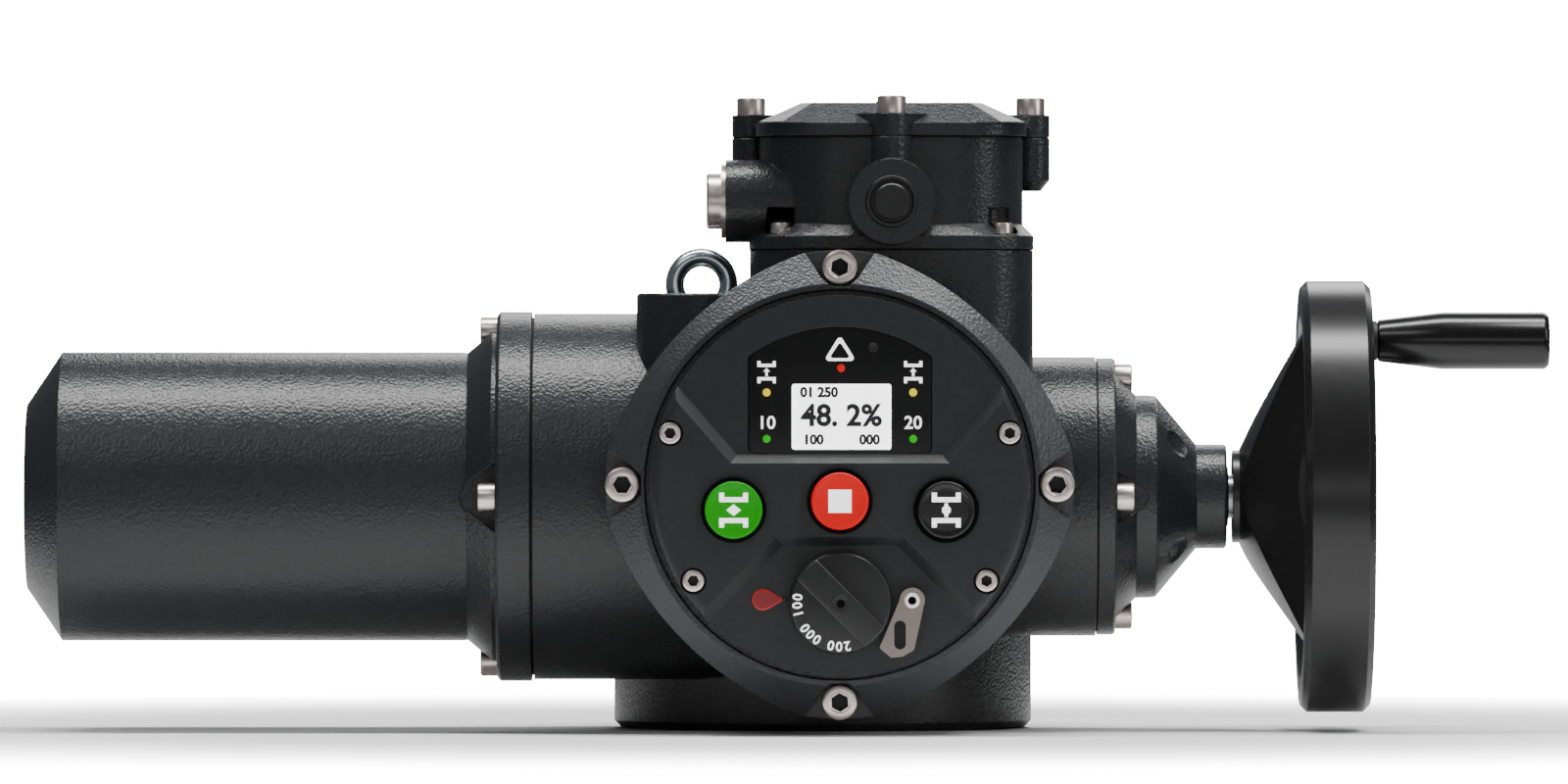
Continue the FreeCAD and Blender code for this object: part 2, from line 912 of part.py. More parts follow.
def handwheel_cover():
    back = hand_barrel_end + seal_gap / 2
    neck_bore = shaft_seal_radius + fit
    bush = bush_outer_radius + fit
    outline = [
        (back, hand_cavity_radius),
        (back, side_flange_radius),
        (side_flange_face - 1, side_flange_radius),
        (side_flange_face, side_flange_radius - 1),
        (side_flange_face, side_cone_radius),
        (side_step_start, side_step_radius + 0.8),
        (side_step_end - 1, side_step_radius),
        (side_step_end, side_step_radius - 1),
        (side_neck_start, side_neck_radius),
        (side_neck_end - 1, side_neck_radius),
        (side_neck_end, side_neck_radius - 1),
        (side_neck_end, neck_bore),
        (bush_end, neck_bore),
        (bush_end, bush),
        (bush_start, bush),
        (bush_start, bush + 5),
        (bush_start - 8, side_step_radius - 9),
        (side_flange_face + 2, hand_cavity_radius - 3),
    ]
    cover = turned("x", outline, drive_at)
    pockets = vee_pockets("x", side_flange_face, side_pocket_depth, side_pocket_half_width,
                          side_pocket_floor, side_flange_radius + 2, drive_at)
    holes = [rod("x", m8_screw[2] + fit, back - 1, side_flange_face + 20, at)
             for at in ring_places(side_bolt_circle, drive_at)]
    run = side_neck_start - side_step_end
    fall = side_step_radius - side_neck_radius
    slope = math.hypot(run, fall)
    scoop_x = (side_step_end + side_neck_start) / 2 + scoop_lift * fall / slope
    scoop_r = (side_step_radius + side_neck_radius) / 2 + scoop_lift * run / slope
    scoop = Part.makeSphere(scoop_radius, Vector(scoop_x, drive_y, drive_z + scoop_r))
    scoops = around(scoop, "x", drive_at, [45, 135, 225, 315])
    return cover.cut(pockets + holes + scoops)


def handwheel_cover_bolts():
    places = ring_places(side_bolt_circle, drive_at)
    return Part.makeCompound([cap_screw("x", 1, side_flange_face, at, side_cover_screw()) for at in places])


def handwheel_shaft_bush():
    return tube("x", bush_outer_radius, hand_shaft_radius + fit, bush_start, bush_end, drive_at)


def handwheel_shaft_seal():
    outline = [
        (bush_end + 0.5, hand_shaft_radius + fit),
        (bush_end + 0.5, shaft_seal_radius),
        (side_neck_end - 0.4, shaft_seal_radius),
        (shaft_seal_end, shaft_seal_radius - 3),
        (shaft_seal_end, hand_shaft_radius + fit),
    ]
    return turned("x", outline, drive_at)


def handwheel_shaft():
    hub_end = hub_start + hub_thickness
    collar_end = bush_start - free
    outline = [
        (pilot_start + 5, 0),
        (pilot_start + 5, pilot_radius),
        (hub_end + 0.2, pilot_radius),
        (hub_end + 0.2, hand_shaft_radius),
        (collar_end - collar_length, hand_shaft_radius),
        (collar_end - collar_length, collar_radius),
        (collar_end, collar_radius),
        (collar_end, hand_shaft_radius),
        (wheel_hub_end, hand_shaft_radius),
        (wheel_hub_end, wheel_screw_head[2] + fit),
        (wheel_hub_end - 22, wheel_screw_head[2] + fit),
        (wheel_hub_end - 22, 0),
    ]
    shaft = turned("x", outline, drive_at)
    flats = []
    for sign in (-1, 1):
        near = drive_y + sign * hand_shaft_flat
        far = drive_y + sign * (hand_shaft_radius + 2)
        z = (drive_z - dog_radius, drive_z + dog_radius)
        flats.append(block((hub_end + 0.2, hand_barrel_end), (near, far), z))
    return shaft.cut(flats)


def handwheel_screw():
    """Retaining screw and its washer at the end of the handwheel shaft."""
    washer_end = wheel_hub_end + wheel_washer_thickness
    washer = tube("x", wheel_washer_radius, wheel_screw_head[2] + 0.2, wheel_hub_end, washer_end, drive_at)
    screw = cap_screw("x", 1, washer_end, drive_at, wheel_screw_head)
    return Part.makeCompound([washer, screw])


def web_cone(shift):
    """The dished web as a full cone, moved along the axis."""
    slope = (rim_inner_radius - hub_radius) / (rim_start - web_start)
    start = web_start + shift
    end = rim_end
    outline = [
        (start, 0),
        (start, hub_radius),
        (end, hub_radius + slope * (end - start)),
        (end, 0),
    ]
    return turned("x", outline, drive_at)


def web_flats():
    """Wedges that cut the coned web into spokes, each with a sloping flat that faces outwards."""
    start = web_start - 1
    distance = flat_start_distance - flat_slope
    points = [
        Vector(start, drive_y, drive_z + distance),
        Vector(rim_end, drive_y, drive_z + distance + flat_slope * (rim_end - start)),
        Vector(rim_end, drive_y, drive_z + rim_radius),
        Vector(start, drive_y, drive_z + rim_radius),
    ]
    wedge = prism(points, Vector(0, rim_radius * 2, 0))
    wedge.translate(Vector(0, -rim_radius, 0))
    # The photograph's near flat faces the -Y side, a few degrees above level.
    first = 90 - flat_turn
    return around(wedge, "x", drive_at, [first + 360 / spoke_count * step for step in range(spoke_count)])


def handwheel():
    """Dished wheel: a deep rim on three broad spokes with sloping flats between them."""
    rim_outline = [
        (rim_start + rim_round, rim_inner_radius),
        (rim_start, rim_inner_radius + rim_round),
        (rim_start, rim_radius - rim_round),
        (rim_start + rim_round, rim_radius),
        (rim_end - rim_round, rim_radius),
        (rim_end, rim_radius - rim_round),
        (rim_end, rim_inner_radius + rim_round),
        (rim_end - rim_round, rim_inner_radius),
    ]
    rim = turned("x", rim_outline, drive_at)
    reach = rod("x", rim_inner_radius + 1, web_start, rim_end - rim_round, drive_at)
    screw_recess = rod("x", hub_radius, wheel_hub_end, rim_end, drive_at)
    web = web_cone(0).common(reach).cut([web_cone(web_wall), screw_recess] + web_flats())
    hub = rod("x", hub_radius, wheel_hub_start, wheel_hub_end, drive_at)
    wheel = rim.fuse([web, hub])
    bore = rod("x", hand_shaft_radius + fit, wheel_hub_start - 1, wheel_hub_end + 1, drive_at)
    spindle_hole = rod("x", spindle_radius + fit, spindle_start - 1, rim_end + 1, crank_at())
    return wheel.cut([bore, spindle_hole])


def crank_at():
    """Where the crank grip's axis crosses the wheel."""
    side = math.sqrt(crank_orbit ** 2 - crank_offset_z ** 2)
    return (drive_y - side, drive_z + crank_offset_z)


def crank_spindle():
    shoulder_end = grip_start - free
    outline = [
        (spindle_start, 0),
        (spindle_start, spindle_radius),
        (rim_end, spindle_radius),
        (rim_end, spindle_shoulder_radius),
        (shoulder_end, spindle_shoulder_radius),
        (shoulder_end, spindle_radius),
        (spindle_end - 1, spindle_radius),
        (spindle_end, spindle_radius - 1),
        (spindle_end, 0),
    ]
    return turned("x", outline, crank_at())


def crank_grip():
    bore = spindle_radius + fit
    outline = [
        (grip_start, bore),
        (grip_start, grip_neck_radius - 1),
        (grip_start + 1, grip_neck_radius),
        (grip_start + 6, grip_neck_radius),
        (grip_swell_x - 12, grip_neck_radius + 1.9),
        (grip_swell_x, grip_radius),
        (grip_end - 8, grip_radius),
        (grip_end - 3, grip_radius - 1.8),
        (grip_end - 0.8, grip_radius - 5),
        (grip_end, 0),
        (spindle_end + 2, 0),
        (spindle_end + 2, bore),
    ]
    return turned("x", outline, crank_at())


def output_sleeve():
    top_bearing = wheel_bore_top - output_bearing_width
    face = drive_z - wheel_face_width / 2
    bush_top = bush_bottom + bush_length
    seat = sleeve_seat_radius - fit
    lower_face = retainer_top + output_bearing_width
    outline = [
        (sleeve_bottom, bush_radius),
        (sleeve_bottom, seat),
        (lower_face + free, seat),
        (lower_face + free, sleeve_body_radius),
        (face - sleeve_shoulder_height, sleeve_body_radius),
        (face - sleeve_shoulder_height, sleeve_shoulder_radius),
        (face, sleeve_shoulder_radius),
        (face, sleeve_body_radius),
        (top_bearing - free, sleeve_body_radius),
        (top_bearing - free, seat),
        (wheel_bore_top - free, seat),
        (wheel_bore_top - free, sleeve_bore),
        (bush_top, sleeve_bore),
        (bush_top, bush_radius),
    ]
    return turned("z", outline, output_at)


def worm_wheel():
    """Forty-tooth wheel with a long hub that reaches the upper bearing."""
    low = drive_z - wheel_face_width / 2
    lean = thread_pitch / (2 * math.pi * worm_pitch_radius) / wheel_pitch_radius
    twist = math.degrees(lean) * wheel_face_width
    tooth_step = 2 * math.pi / wheel_teeth
    gap_angle = -math.pi / 2
    first = gap_angle + tooth_step / 2 - lean * wheel_face_width / 2
    toothed = screwed_solid(wheel_profile(first), wheel_face_width, twist)
    toothed.translate(Vector(0, 0, low))
    bore = sleeve_body_radius + fit
    top = wheel_bore_top - output_bearing_width - free
    hub = rod("z", sleeve_shoulder_radius + 2, drive_z, top, output_at)
    return toothed.fuse(hub).cut(rod("z", bore, low - 1, top + 1, output_at))


def drive_bush():
    """Bore with a keyway for the valve stem."""
    top = bush_bottom + bush_length - fit
    body = tube("z", bush_radius - fit, drive_bore, bush_bottom, top, output_at)
    half = key_width / 2
    slot = block((0, drive_bore + key_depth), (-half, half), (bush_bottom - 1, top + 1))
    return body.cut(slot)


def output_bearings():
    bore = sleeve_seat_radius
    outer = wheel_bore - fit
    width = output_bearing_width
    starts = (retainer_top, wheel_bore_top - width)
    return Part.makeCompound([ball_bearing("z", bore, outer, start, width, output_at) for start in starts])


def bearing_retainer_ring():
    outline = [
        (retainer_bottom, sleeve_seat_radius + 2),
        (retainer_bottom, wheel_bore - fit),
        (retainer_top, wheel_bore - fit),
        (retainer_top, seal_outer_radius),
        (retainer_bottom + retainer_lip, seal_outer_radius),
        (retainer_bottom + retainer_lip, sleeve_seat_radius + 2),
    ]
    ring = turned("z", outline, output_at)
    places = ring_places(wheel_bore - 6, output_at)
    return ring.cut([rod("z", 2.5, retainer_bottom - 1, retainer_bottom + 6, at) for at in places])


def output_seal():
    start = retainer_bottom + retainer_lip + 0.1
    end = start + seal_width
    return tube("z", seal_outer_radius - seal_squeeze, sleeve_seat_radius, start, end, output_at)


def encoder_magnet_ring():
    top = magnet_ring_bottom + magnet_ring_height
    return tube("z", magnet_ring_radius, sleeve_body_radius + fit, magnet_ring_bottom, top, output_at)


def sensor_height():
    return magnet_ring_bottom + magnet_ring_height / 2


def encoder_sensor():
    """Probe through the casing wall that reads the magnet ring."""
    tip = -(magnet_ring_radius + 0.6)
    probe = rod("y", sensor_radius, tip, front_cavity_back, (0, sensor_height()))
    head = rod("y", sensor_radius + 4, front_cavity_back - 6, front_cavity_back, (0, sensor_height()))
    return probe.fuse(head)


def stem_cap_plug():
    """Plug over the hollow sleeve, where a rising stem would leave the housing."""
    top = housing_top
    face = top + plug_flange_height
    outline = [
        (top - plug_depth, 0),
        (top - plug_depth, plug_radius - fit),
        (top, plug_radius - fit),
        (top, plug_flange_radius),
        (face - 2, plug_flange_radius),
        (face, plug_flange_radius - 3),
        (face, 0),
    ]
    plug = turned("z", outline, output_at)
    half = plug_square_half
    return plug.fuse(block((-half, half), (-half, half), (face, face + plug_square_height)))


def eyebolt():
    """Lifting eye: ring, neck, collar and shank."""
    ring = Part.makeTorus(eye_ring_radius, eye_section_radius, Vector(eye_x, eye_y, eye_centre_z), AXES["y"])
    outline = [
        (eye_seat - eye_shank_length, 0),
        (eye_seat - eye_shank_length, eye_shank_radius),
        (eye_seat, eye_shank_radius),
        (eye_seat, eye_collar_radius),
        (eye_seat + 4, eye_collar_radius),
        (eye_seat + 6, eye_section_radius + 1),
        (eye_seat + 6, 0),
    ]
    return ring.fuse(turned("z", outline, (eye_x, eye_y)))


def eye_boss():
    back = rod("z", eye_boss_radius, drive_z, eye_boss_top, (eye_x, eye_boss_back_y))
    front = rod("z", eye_boss_radius, drive_z, eye_boss_top, (eye_x, eye_boss_front_y))
    x = (eye_x - eye_boss_radius, eye_x + eye_boss_radius)
    middle = block(x, (eye_boss_front_y, eye_boss_back_y), (drive_z, eye_boss_top))
    boss = joined([back, front, middle])
    return softened(boss, edge_round, lambda edge: edge.BoundBox.ZMin > eye_boss_top - 0.01)


def lug_places():
    """Axes of the four casing lugs under the control cover."""
    return ring_places(lug_reach - lug_radius, panel_at)


def casing_outside():
    base = turned("z", [
        (0, 0),
        (0, base_radius - base_bottom_round),
        (base_bottom_round, base_radius),
        (housing_shoulder_z, base_radius),
        (housing_top - 10, housing_crown_radius + 6),
        (housing_top, housing_crown_radius),
        (housing_top, 0),
    ], output_at)
    motor_barrel = rod("x", motor_barrel_radius, motor_barrel_end, motor_barrel_root, drive_at)
    hand_barrel = rod("x", hand_barrel_radius, 0, hand_barrel_end, drive_at)
    front_barrel = rod("y", front_barrel_radius, front_barrel_back, front_face, panel_at)
    column = square_prism(column_half, column_corner, column_bottom, column_top, column_at)
    lugs = [rod("y", lug_radius, front_face + 26, front_face, at) for at in lug_places()]
    return [base, motor_barrel, hand_barrel, front_barrel, column, eye_boss()] + lugs


def casing_cavities():
    wheel = rod("z", wheel_bore, -1, wheel_bore_top, output_at)
    cap_hole = rod("z", plug_radius, wheel_bore_top - 1, housing_top + 1, output_at)
    chamber = rod("x", worm_chamber_radius, worm_chamber_left, worm_chamber_right + 1, drive_at)
    bearing_seat = rod("x", worm_bearing_radius, left_bearing_x, worm_chamber_left + 1, drive_at)
    shaft_hole = rod("x", shaft_hole_radius, motor_cavity_end - 1, left_bearing_x + 1, drive_at)
    mouth = rod("x", motor_cavity_radius, motor_barrel_end - 1, shield_step_x, drive_at)
    left = rod("x", motor_cavity_radius - shield_step, shield_step_x - 1, motor_cavity_end, drive_at)
    right = rod("x", hand_cavity_radius, worm_chamber_right, hand_barrel_end + 1, drive_at)
    front = rod("y", front_cavity_radius, front_cavity_back, front_face - 1, panel_at)
    column = rod("z", column_cavity_radius, column_cavity_floor, column_top + 1, column_at)
    wire_way = rod("x", 8, motor_cavity_end - 8, motor_cavity_end + 12, (front_cavity_back - 6, panel_z - 1))
    sensor_way = rod("y", sensor_radius + fit, front_cavity_back - 1, -wheel_bore + 5, (0, sensor_height()))
    eye_recess = rod("z", eye_recess_radius, eye_seat, eye_boss_top + 1, (eye_x, eye_y))
    eye_depth = eye_seat - eye_shank_length - 2
    eye_hole = rod("z", eye_shank_radius + fit, eye_depth, eye_seat + 1, (eye_x, eye_y))
    return [wheel, cap_hole, chamber, bearing_seat, shaft_hole, mouth, left, right, front, column,
            wire_way, sensor_way, eye_recess, eye_hole]


def casing_screw_holes():
    tip = bolt_hole_depth + bolt_hole_radius * drill_tip_ratio
    drilled = [(-1, 0), (-1, bolt_hole_radius), (bolt_hole_depth, bolt_hole_radius), (tip, 0)]
    holes = [turned("z", drilled, at) for at in ring_places(bolt_circle_radius, output_at, 45, bolt_count)]
    m8_hole = m8_screw[2] + fit
    for at in ring_places(cover_bolt_circle, drive_at):
        holes.append(rod("x", m8_hole, motor_barrel_end - 1, motor_barrel_end + 16, at))
    for at in ring_places(side_bolt_circle, drive_at):
        holes.append(rod("x", m8_hole, hand_barrel_end - 16, hand_barrel_end + 1, at))
    for at in ring_places(control_bolt_circle, panel_at):
        holes.append(rod("y", m10_screw[2] + fit, front_face - 1, front_face + 20, at))
    for at in terminal_bolt_places():
        holes.append(rod("z", m6_screw[2] + fit, column_top - 14, column_top + 1, at))
    return holes


def terminal_bolt_places():
    radius = terminal_bolt_offset * math.sqrt(2)
    return ring_places(radius, column_at, 45)


def board_posts():
    """Posts on the back wall of the front compartment that carry the logic board."""
    places = ring_places(post_circle, panel_at, 45)
    return [rod("y", post_radius, front_cavity_back + 1, logic_board_back, at) for at in places]


def gear_casing():
    body = joined(casing_outside())
    body = body.cut(casing_cavities() + casing_screw_holes())
    return body.fuse(board_posts()).removeSplitter()


def logic_board():
    """Round circuit board with its chips, relays and connector."""
    face = logic_board_back - board_thickness
    board = rod("y", logic_board_radius, face, logic_board_back, panel_at)
    parts = [board]
    for x, z, width, height, depth in board_chips:
        low = (x - width / 2, z - height / 2)
        high = (x + width / 2, z + height / 2)
        x_range = [panel_x + logic_board_radius * value for value in (low[0], high[0])]
        z_range = [panel_z + logic_board_radius * value for value in (low[1], high[1])]
        parts.append(block(x_range, (face - logic_board_radius * depth, face), z_range))
    return joined(parts)


def power_supply():
    """Small transformer block behind the logic board."""
    width, depth, height = supply_size
    x = (panel_x - width / 2, panel_x + width / 2)
    z = (panel_z - height / 2 + 20, panel_z + height / 2 + 20)
    core = block(x, (front_cavity_back - depth, front_cavity_back), z)
    coil_y = (front_cavity_back - depth - 4, front_cavity_back - depth)
    coil = block((x[0] + 8, x[1] - 8), coil_y, (z[0] + 4, z[1] - 4))
    return core.fuse(coil)


def control_pads():
    """Flared flats for the cover screws, cut in the slanted edge of the cover."""
    outer = lug_reach + 1
    inner = control_bolt_circle - m10_screw[0] - 0.6
    apex = pad_inner_half_width
    points = [
        Vector(panel_x - pad_outer_half_width, control_cover_edge, panel_z + outer),
        Vector(panel_x + pad_outer_half_width, control_cover_edge, panel_z + outer),
        Vector(panel_x + apex, control_cover_edge, panel_z + inner + 4),
        Vector(panel_x + apex * 0.5, control_cover_edge, panel_z + inner),
        Vector(panel_x - apex * 0.5, control_cover_edge, panel_z + inner),
        Vector(panel_x - apex, control_cover_edge, panel_z + inner + 4),
    ]
    pad = prism(points, Vector(0, control_cover_front - control_cover_edge - 2, 0))
    return around(pad, "y", panel_at, [0, 90, 180, 270])


def flange_outline(front, back):
    """The control cover's flange: four bowed sides that meet at the four screw pads."""
    half_pad = math.asin(pad_outer_half_width / control_corner_radius)

    def point(radius, angle):
        return Vector(panel_x + radius * math.cos(angle), back, panel_z + radius * math.sin(angle))

    edges = []
    for quarter in range(4):
        middle = quarter * math.pi / 2
        first = point(control_corner_radius, middle - half_pad)
        second = point(control_corner_radius, middle + half_pad)
        third = point(control_corner_radius, middle + math.pi / 2 - half_pad)
        edges.append(Part.Arc(first, point(lug_reach, middle), second).toShape())
        edges.append(Part.Arc(second, point(control_cover_radius, middle + math.pi / 4), third).toShape())
    return Part.Face(Part.Wire(edges)).extrude(Vector(0, front - back, 0))


def control_cover():
    back = control_cover_back
    outline = [
        (back, front_cavity_radius - 6),
        (back, lug_reach + 1),
        (control_cover_edge, lug_reach + 1),
        (control_cover_edge, lug_reach),
        (control_cover_front, control_ring_radius),
        (control_cover_front, control_groove_radius),
        (panel_seat, control_groove_radius - 0.5),
        (panel_seat, panel_hole_radius),
        (panel_seat + 4, panel_hole_radius),
    ]
    cover = turned("y", outline, panel_at).common(flange_outline(control_cover_front, back))
    holes = [rod("y", m10_screw[2] + fit, back + 1, control_cover_front, at)
             for at in ring_places(control_bolt_circle, panel_at)]
    return cover.cut(control_pads() + holes)


def control_cover_bolts():
    head_radius, head_height, shank_radius, shank_length = m10_screw
    size = (head_radius, head_height, shank_radius, shank_length + front_face - control_cover_edge)
    places = ring_places(control_bolt_circle, panel_at)
    return Part.makeCompound([cap_screw("y", -1, control_cover_edge, at, size) for at in places])


def sloped_recess(boundary, floor, face, way):
    """A recess with sloped walls. It opens upwards where `way` is 1 and downwards where it is -1."""
    upper = []
    lower = []
    for x, z in boundary:
        draw = math.copysign(recess_depth * recess_side_slope, x)
        upper.append(Vector(panel_x + x, face, panel_z + z))
        lower.append(Vector(panel_x + x - draw, floor, panel_z + z + way * recess_depth))
    outlines = [Part.makePolygon(points + [points[0]]) for points in (upper, lower)]
    return Part.makeLoft(outlines, True, True)


def display_recess(face, floor):
    far = panel_radius + 20
    boundary = [
        (-display_recess_half_width, display_recess_z),
        (display_recess_half_width, display_recess_z),
        (display_recess_rim_x, display_recess_rim_z),
        (far, display_recess_rim_z + 8),
        (far, far),
        (-far, far),
        (-far, display_recess_rim_z + 8),
        (-display_recess_rim_x, display_recess_rim_z),
    ]
    return sloped_recess(boundary, floor, face, 1)


def knob_recess(face, floor):
    far = panel_radius + 20
    boundary = [
        (-knob_recess_half_width, knob_recess_z),
        (-knob_recess_rim_x, knob_recess_rim_z),
        (-far, knob_recess_rim_z - 8),
        (-far, -far),
        (far, -far),
        (far, knob_recess_rim_z - 8),
        (knob_recess_rim_x, knob_recess_rim_z),
        (knob_recess_half_width, knob_recess_z),
    ]
    return sloped_recess(boundary, floor, face, -1)


def window_shape(inset, front, back):
    """The window's outline, drawn in by an inset, as a solid."""
    half = window_half_width - inset
    bottom = panel_z + window_bottom + inset
    slab = block((panel_x - half, panel_x + half), (front, back), (bottom, panel_z + window_arc_radius))
    disc = rod("y", window_arc_radius - inset, front, back, panel_at)
    shape = slab.common(disc)
    return softened(shape, window_corner, lambda edge: is_upright_corner(edge))


def is_upright_corner(edge):
    """True for a straight edge square to the panel."""
    box = edge.BoundBox
    return box.YLength > 1 and box.XLength < 0.01 and box.ZLength < 0.01


def button_places():
    return [(panel_x - button_side_x, panel_z + button_side_z),
            (panel_x, panel_z + stop_button_z),
            (panel_x + button_side_x, panel_z + button_side_z)]


def panel_screw_places():
    places = []
    for x, z in (panel_screw_upper, panel_screw_lower):
        places.append((panel_x - x, panel_z + z))
        places.append((panel_x + x, panel_z + z))
    return places


def knob_place():
    return (panel_x + knob_at[0], panel_z + knob_at[1])


def hasp_place():
    return (panel_x + hasp_pivot[0], panel_z + hasp_pivot[1])


def recess_face():
    return panel_band_face + recess_depth


def operator_panel():
    """Round front plate: raised band, two recesses, window, button pockets and knob hole."""
    face = panel_band_face
    floor = recess_face()
    inside = floor + panel_wall
    outline = [
        (panel_seat, panel_hole_radius),
        (panel_seat, panel_radius),
        (face + panel_edge_round, panel_radius),
        (face + panel_edge_round * 0.5, panel_radius - panel_edge_round * 0.134),
        (face + panel_edge_round * 0.134, panel_radius - panel_edge_round * 0.5),
        (face, panel_radius - panel_edge_round),
        (face, 0),
        (inside, 0),
        (inside, panel_hole_radius),
    ]
    plate = turned("y", outline, panel_at)
    posts = [rod("y", 7, inside - 1, board_face, at) for at in ring_places(board_post_circle, panel_at, 45)]
    screw_bosses = [rod("y", 7, inside - 1, panel_seat, at) for at in panel_screw_places()]
    pivot = rod("y", hasp_rivet_radius + 2, face - hasp_lift + 0.1, floor + 1, hasp_place())
    plate = plate.cut([display_recess(face - 0.01, floor), knob_recess(face - 0.01, floor)])
    plate = plate.fuse(posts + screw_bosses + [pivot])
    cuts = [window_shape(-0.1, floor - 1, floor + window_thickness)]
    cuts.append(window_shape(window_ledge, floor - 1, inside + 1))
    for at in button_places():
        cuts.append(rod("y", button_radius + free, face - 1, face + button_pocket_depth, at))
        cuts.append(rod("y", button_stem_radius + free, face, inside + 1, at))
    cuts.append(rod("y", knob_shaft_radius + fit, face, inside + 1, knob_place()))
    cuts.append(rod("y", hasp_rivet_radius - 1.5, face - 1, inside + 1, hasp_place()))
    for at in panel_screw_places():
        cuts.append(rod("y", m6_screw[0] + 0.9, face - 1, face + m6_screw[1], at))
        cuts.append(rod("y", m6_screw[2] + fit, face, panel_seat + 1, at))
    return plate.cut(cuts)


def panel_screws():
    head_radius, head_height, shank_radius, shank_length = m6_screw
    seat = panel_band_face + m6_screw[1]
    size = (head_radius, head_height, shank_radius, panel_seat - seat)
    return Part.makeCompound([cap_screw("y", -1, seat, at, size) for at in panel_screw_places()])


def display_window():
    floor = recess_face()
    return window_shape(0, floor, floor + window_thickness)


def display_board():
    """Circuit board behind the panel, with the display glass and the button switches."""
    back = board_face + board_thickness
    board = rod("y", board_radius, board_face, back, panel_at)
    x = panel_x + lcd_left
    z = panel_z + lcd_bottom
    behind_window = recess_face() + window_thickness + 0.2
    lcd = block((x, x + lcd_width), (behind_window, board_face), (z, z + lcd_height))
    switches = []
    top = button_stem_end() + button_travel + 0.3
    for at in button_places() + [knob_place()]:
        switches.append(rod("y", switch_radius, top, board_face, at))
    return joined([board, lcd] + switches)


def button_stem_end():
    return panel_band_face + button_stem_depth


def lamp_places():
    places = [(side * lamp_side_x, z) for z in (lamp_upper_z, lamp_lower_z) for side in (-1, 1)]
    return places + [(fault_lamp_x, fault_lamp_z)]


def status_lamps():
    front = recess_face() + window_thickness + 0.2
    lamps = []
    for x, z in lamp_places():
        lamps.append(rod("y", lamp_radius, front, board_face, (panel_x + x, panel_z + z)))
    return Part.makeCompound(lamps)


def button_rings():
    face = panel_band_face
    rings = []
    for at in button_places():
        rings.append(tube("y", button_ring_radius, button_radius + free, face - button_ring_height, face, at))
    return Part.makeCompound(rings)


def push_button(at):
    """Round cap with a shallow dish and a stem that presses its switch."""
    face = panel_band_face
    outline = [
        (face - button_height + 0.6, 0),
        (face - button_height + 0.6, button_radius - 2.5),
        (face - button_height, button_radius - 1.5),
        (face - button_height, button_radius - 0.8),
        (face - button_height + 0.8, button_radius),
        (face + button_pocket_depth - button_travel - free, button_radius),
        (face + button_pocket_depth - button_travel - free, button_stem_radius),
        (button_stem_end(), button_stem_radius),
        (button_stem_end(), 0),
    ]
    return turned("y", outline, at)


def open_button():
    return push_button(button_places()[0])


def stop_button():
    return push_button(button_places()[1])


def close_button():
    return push_button(button_places()[2])


def selector_knob():
    """Round disc with a finger bar set at 45 degrees."""
    at = knob_place()
    floor = recess_face()
    disc_face = floor - free - knob_disc_thickness
    shaft_end = button_stem_end() + button_travel
    outline = [
        (disc_face, 0),
        (disc_face, knob_disc_radius - 1.5),
        (disc_face + 1.5, knob_disc_radius),
        (floor - free, knob_disc_radius),
        (floor - free, knob_shaft_radius),
        (shaft_end, knob_shaft_radius),
        (shaft_end, 0),
    ]
    disc = turned("y", outline, at)
    half = knob_bar_width / 2
    x = (at[0] - half, at[0] + half)
    z = (at[1] - knob_disc_radius + 1, at[1] + knob_disc_radius - 1)
    bar = block(x, (disc_face - knob_bar_height, disc_face + 1), z)
    bar = softened(bar, 2.0, lambda edge: edge.BoundBox.YMax < disc_face or edge.BoundBox.YLength > 5)
    bar.rotate(spot("y", 0, at), AXES["y"], -45)
    return disc.fuse(bar)


def mode_pointer():
    """Drop-shaped pointer beside the knob."""
    x = panel_x + pointer_at[0]
    z = panel_z + pointer_at[1]
    floor = recess_face()
    disc = rod("y", pointer_radius, floor - pointer_thickness, floor, (x, z))
    lean = pointer_radius * 0.86
    points = [
        Vector(x + pointer_radius * 0.5, floor, z - lean),
        Vector(x + pointer_tip, floor, z),
        Vector(x + pointer_radius * 0.5, floor, z + lean),
    ]
    return disc.fuse(prism(points, Vector(0, -pointer_thickness, 0)))


def padlock_hasp():
    """Flat stainless hasp with a slot for a padlock."""
    back = panel_band_face - hasp_lift
    front = back - hasp_thickness
    x, z = hasp_place()
    points = [Vector(x + u, front, z + v) for u, v in hasp_outline]
    plate = prism(points, Vector(0, hasp_thickness, 0))
    plate = softened(plate, 1.5, lambda edge: edge.BoundBox.YLength > 1 and edge.BoundBox.ZMax < z - 5)
    top = rod("y", hasp_outline[1][0], front, back, (x, z))
    plate = plate.fuse(top)
    slot_x = panel_x + hasp_slot_at[0]
    slot_z = panel_z + hasp_slot_at[1]
    half = hasp_slot_width / 2
    rise = hasp_slot_height / 2 - half
    slot = joined([
        block((slot_x - half, slot_x + half), (front - 1, back + 1), (slot_z - rise, slot_z + rise)),
        rod("y", half, front - 1, back + 1, (slot_x, slot_z - rise)),
        rod("y", half, front - 1, back + 1, (slot_x, slot_z + rise)),
    ])
    return plate.cut([slot, rod("y", hasp_rivet_radius - 1.5 + fit, front - 1, back + 1, (x, z))])


def hasp_rivet():
    front = panel_band_face - hasp_lift - hasp_thickness
    shank = hasp_rivet_radius - 1.5
    outline = [
        (front - 1.4, 0),
        (front - 1.4, hasp_rivet_radius - 0.6),
        (front - 0.8, hasp_rivet_radius),
        (front - 0.2, hasp_rivet_radius),
        (front - 0.2, shank),
        (recess_face() + panel_wall, shank),
        (recess_face() + panel_wall, 0),
    ]
    return turned("y", outline, hasp_place())


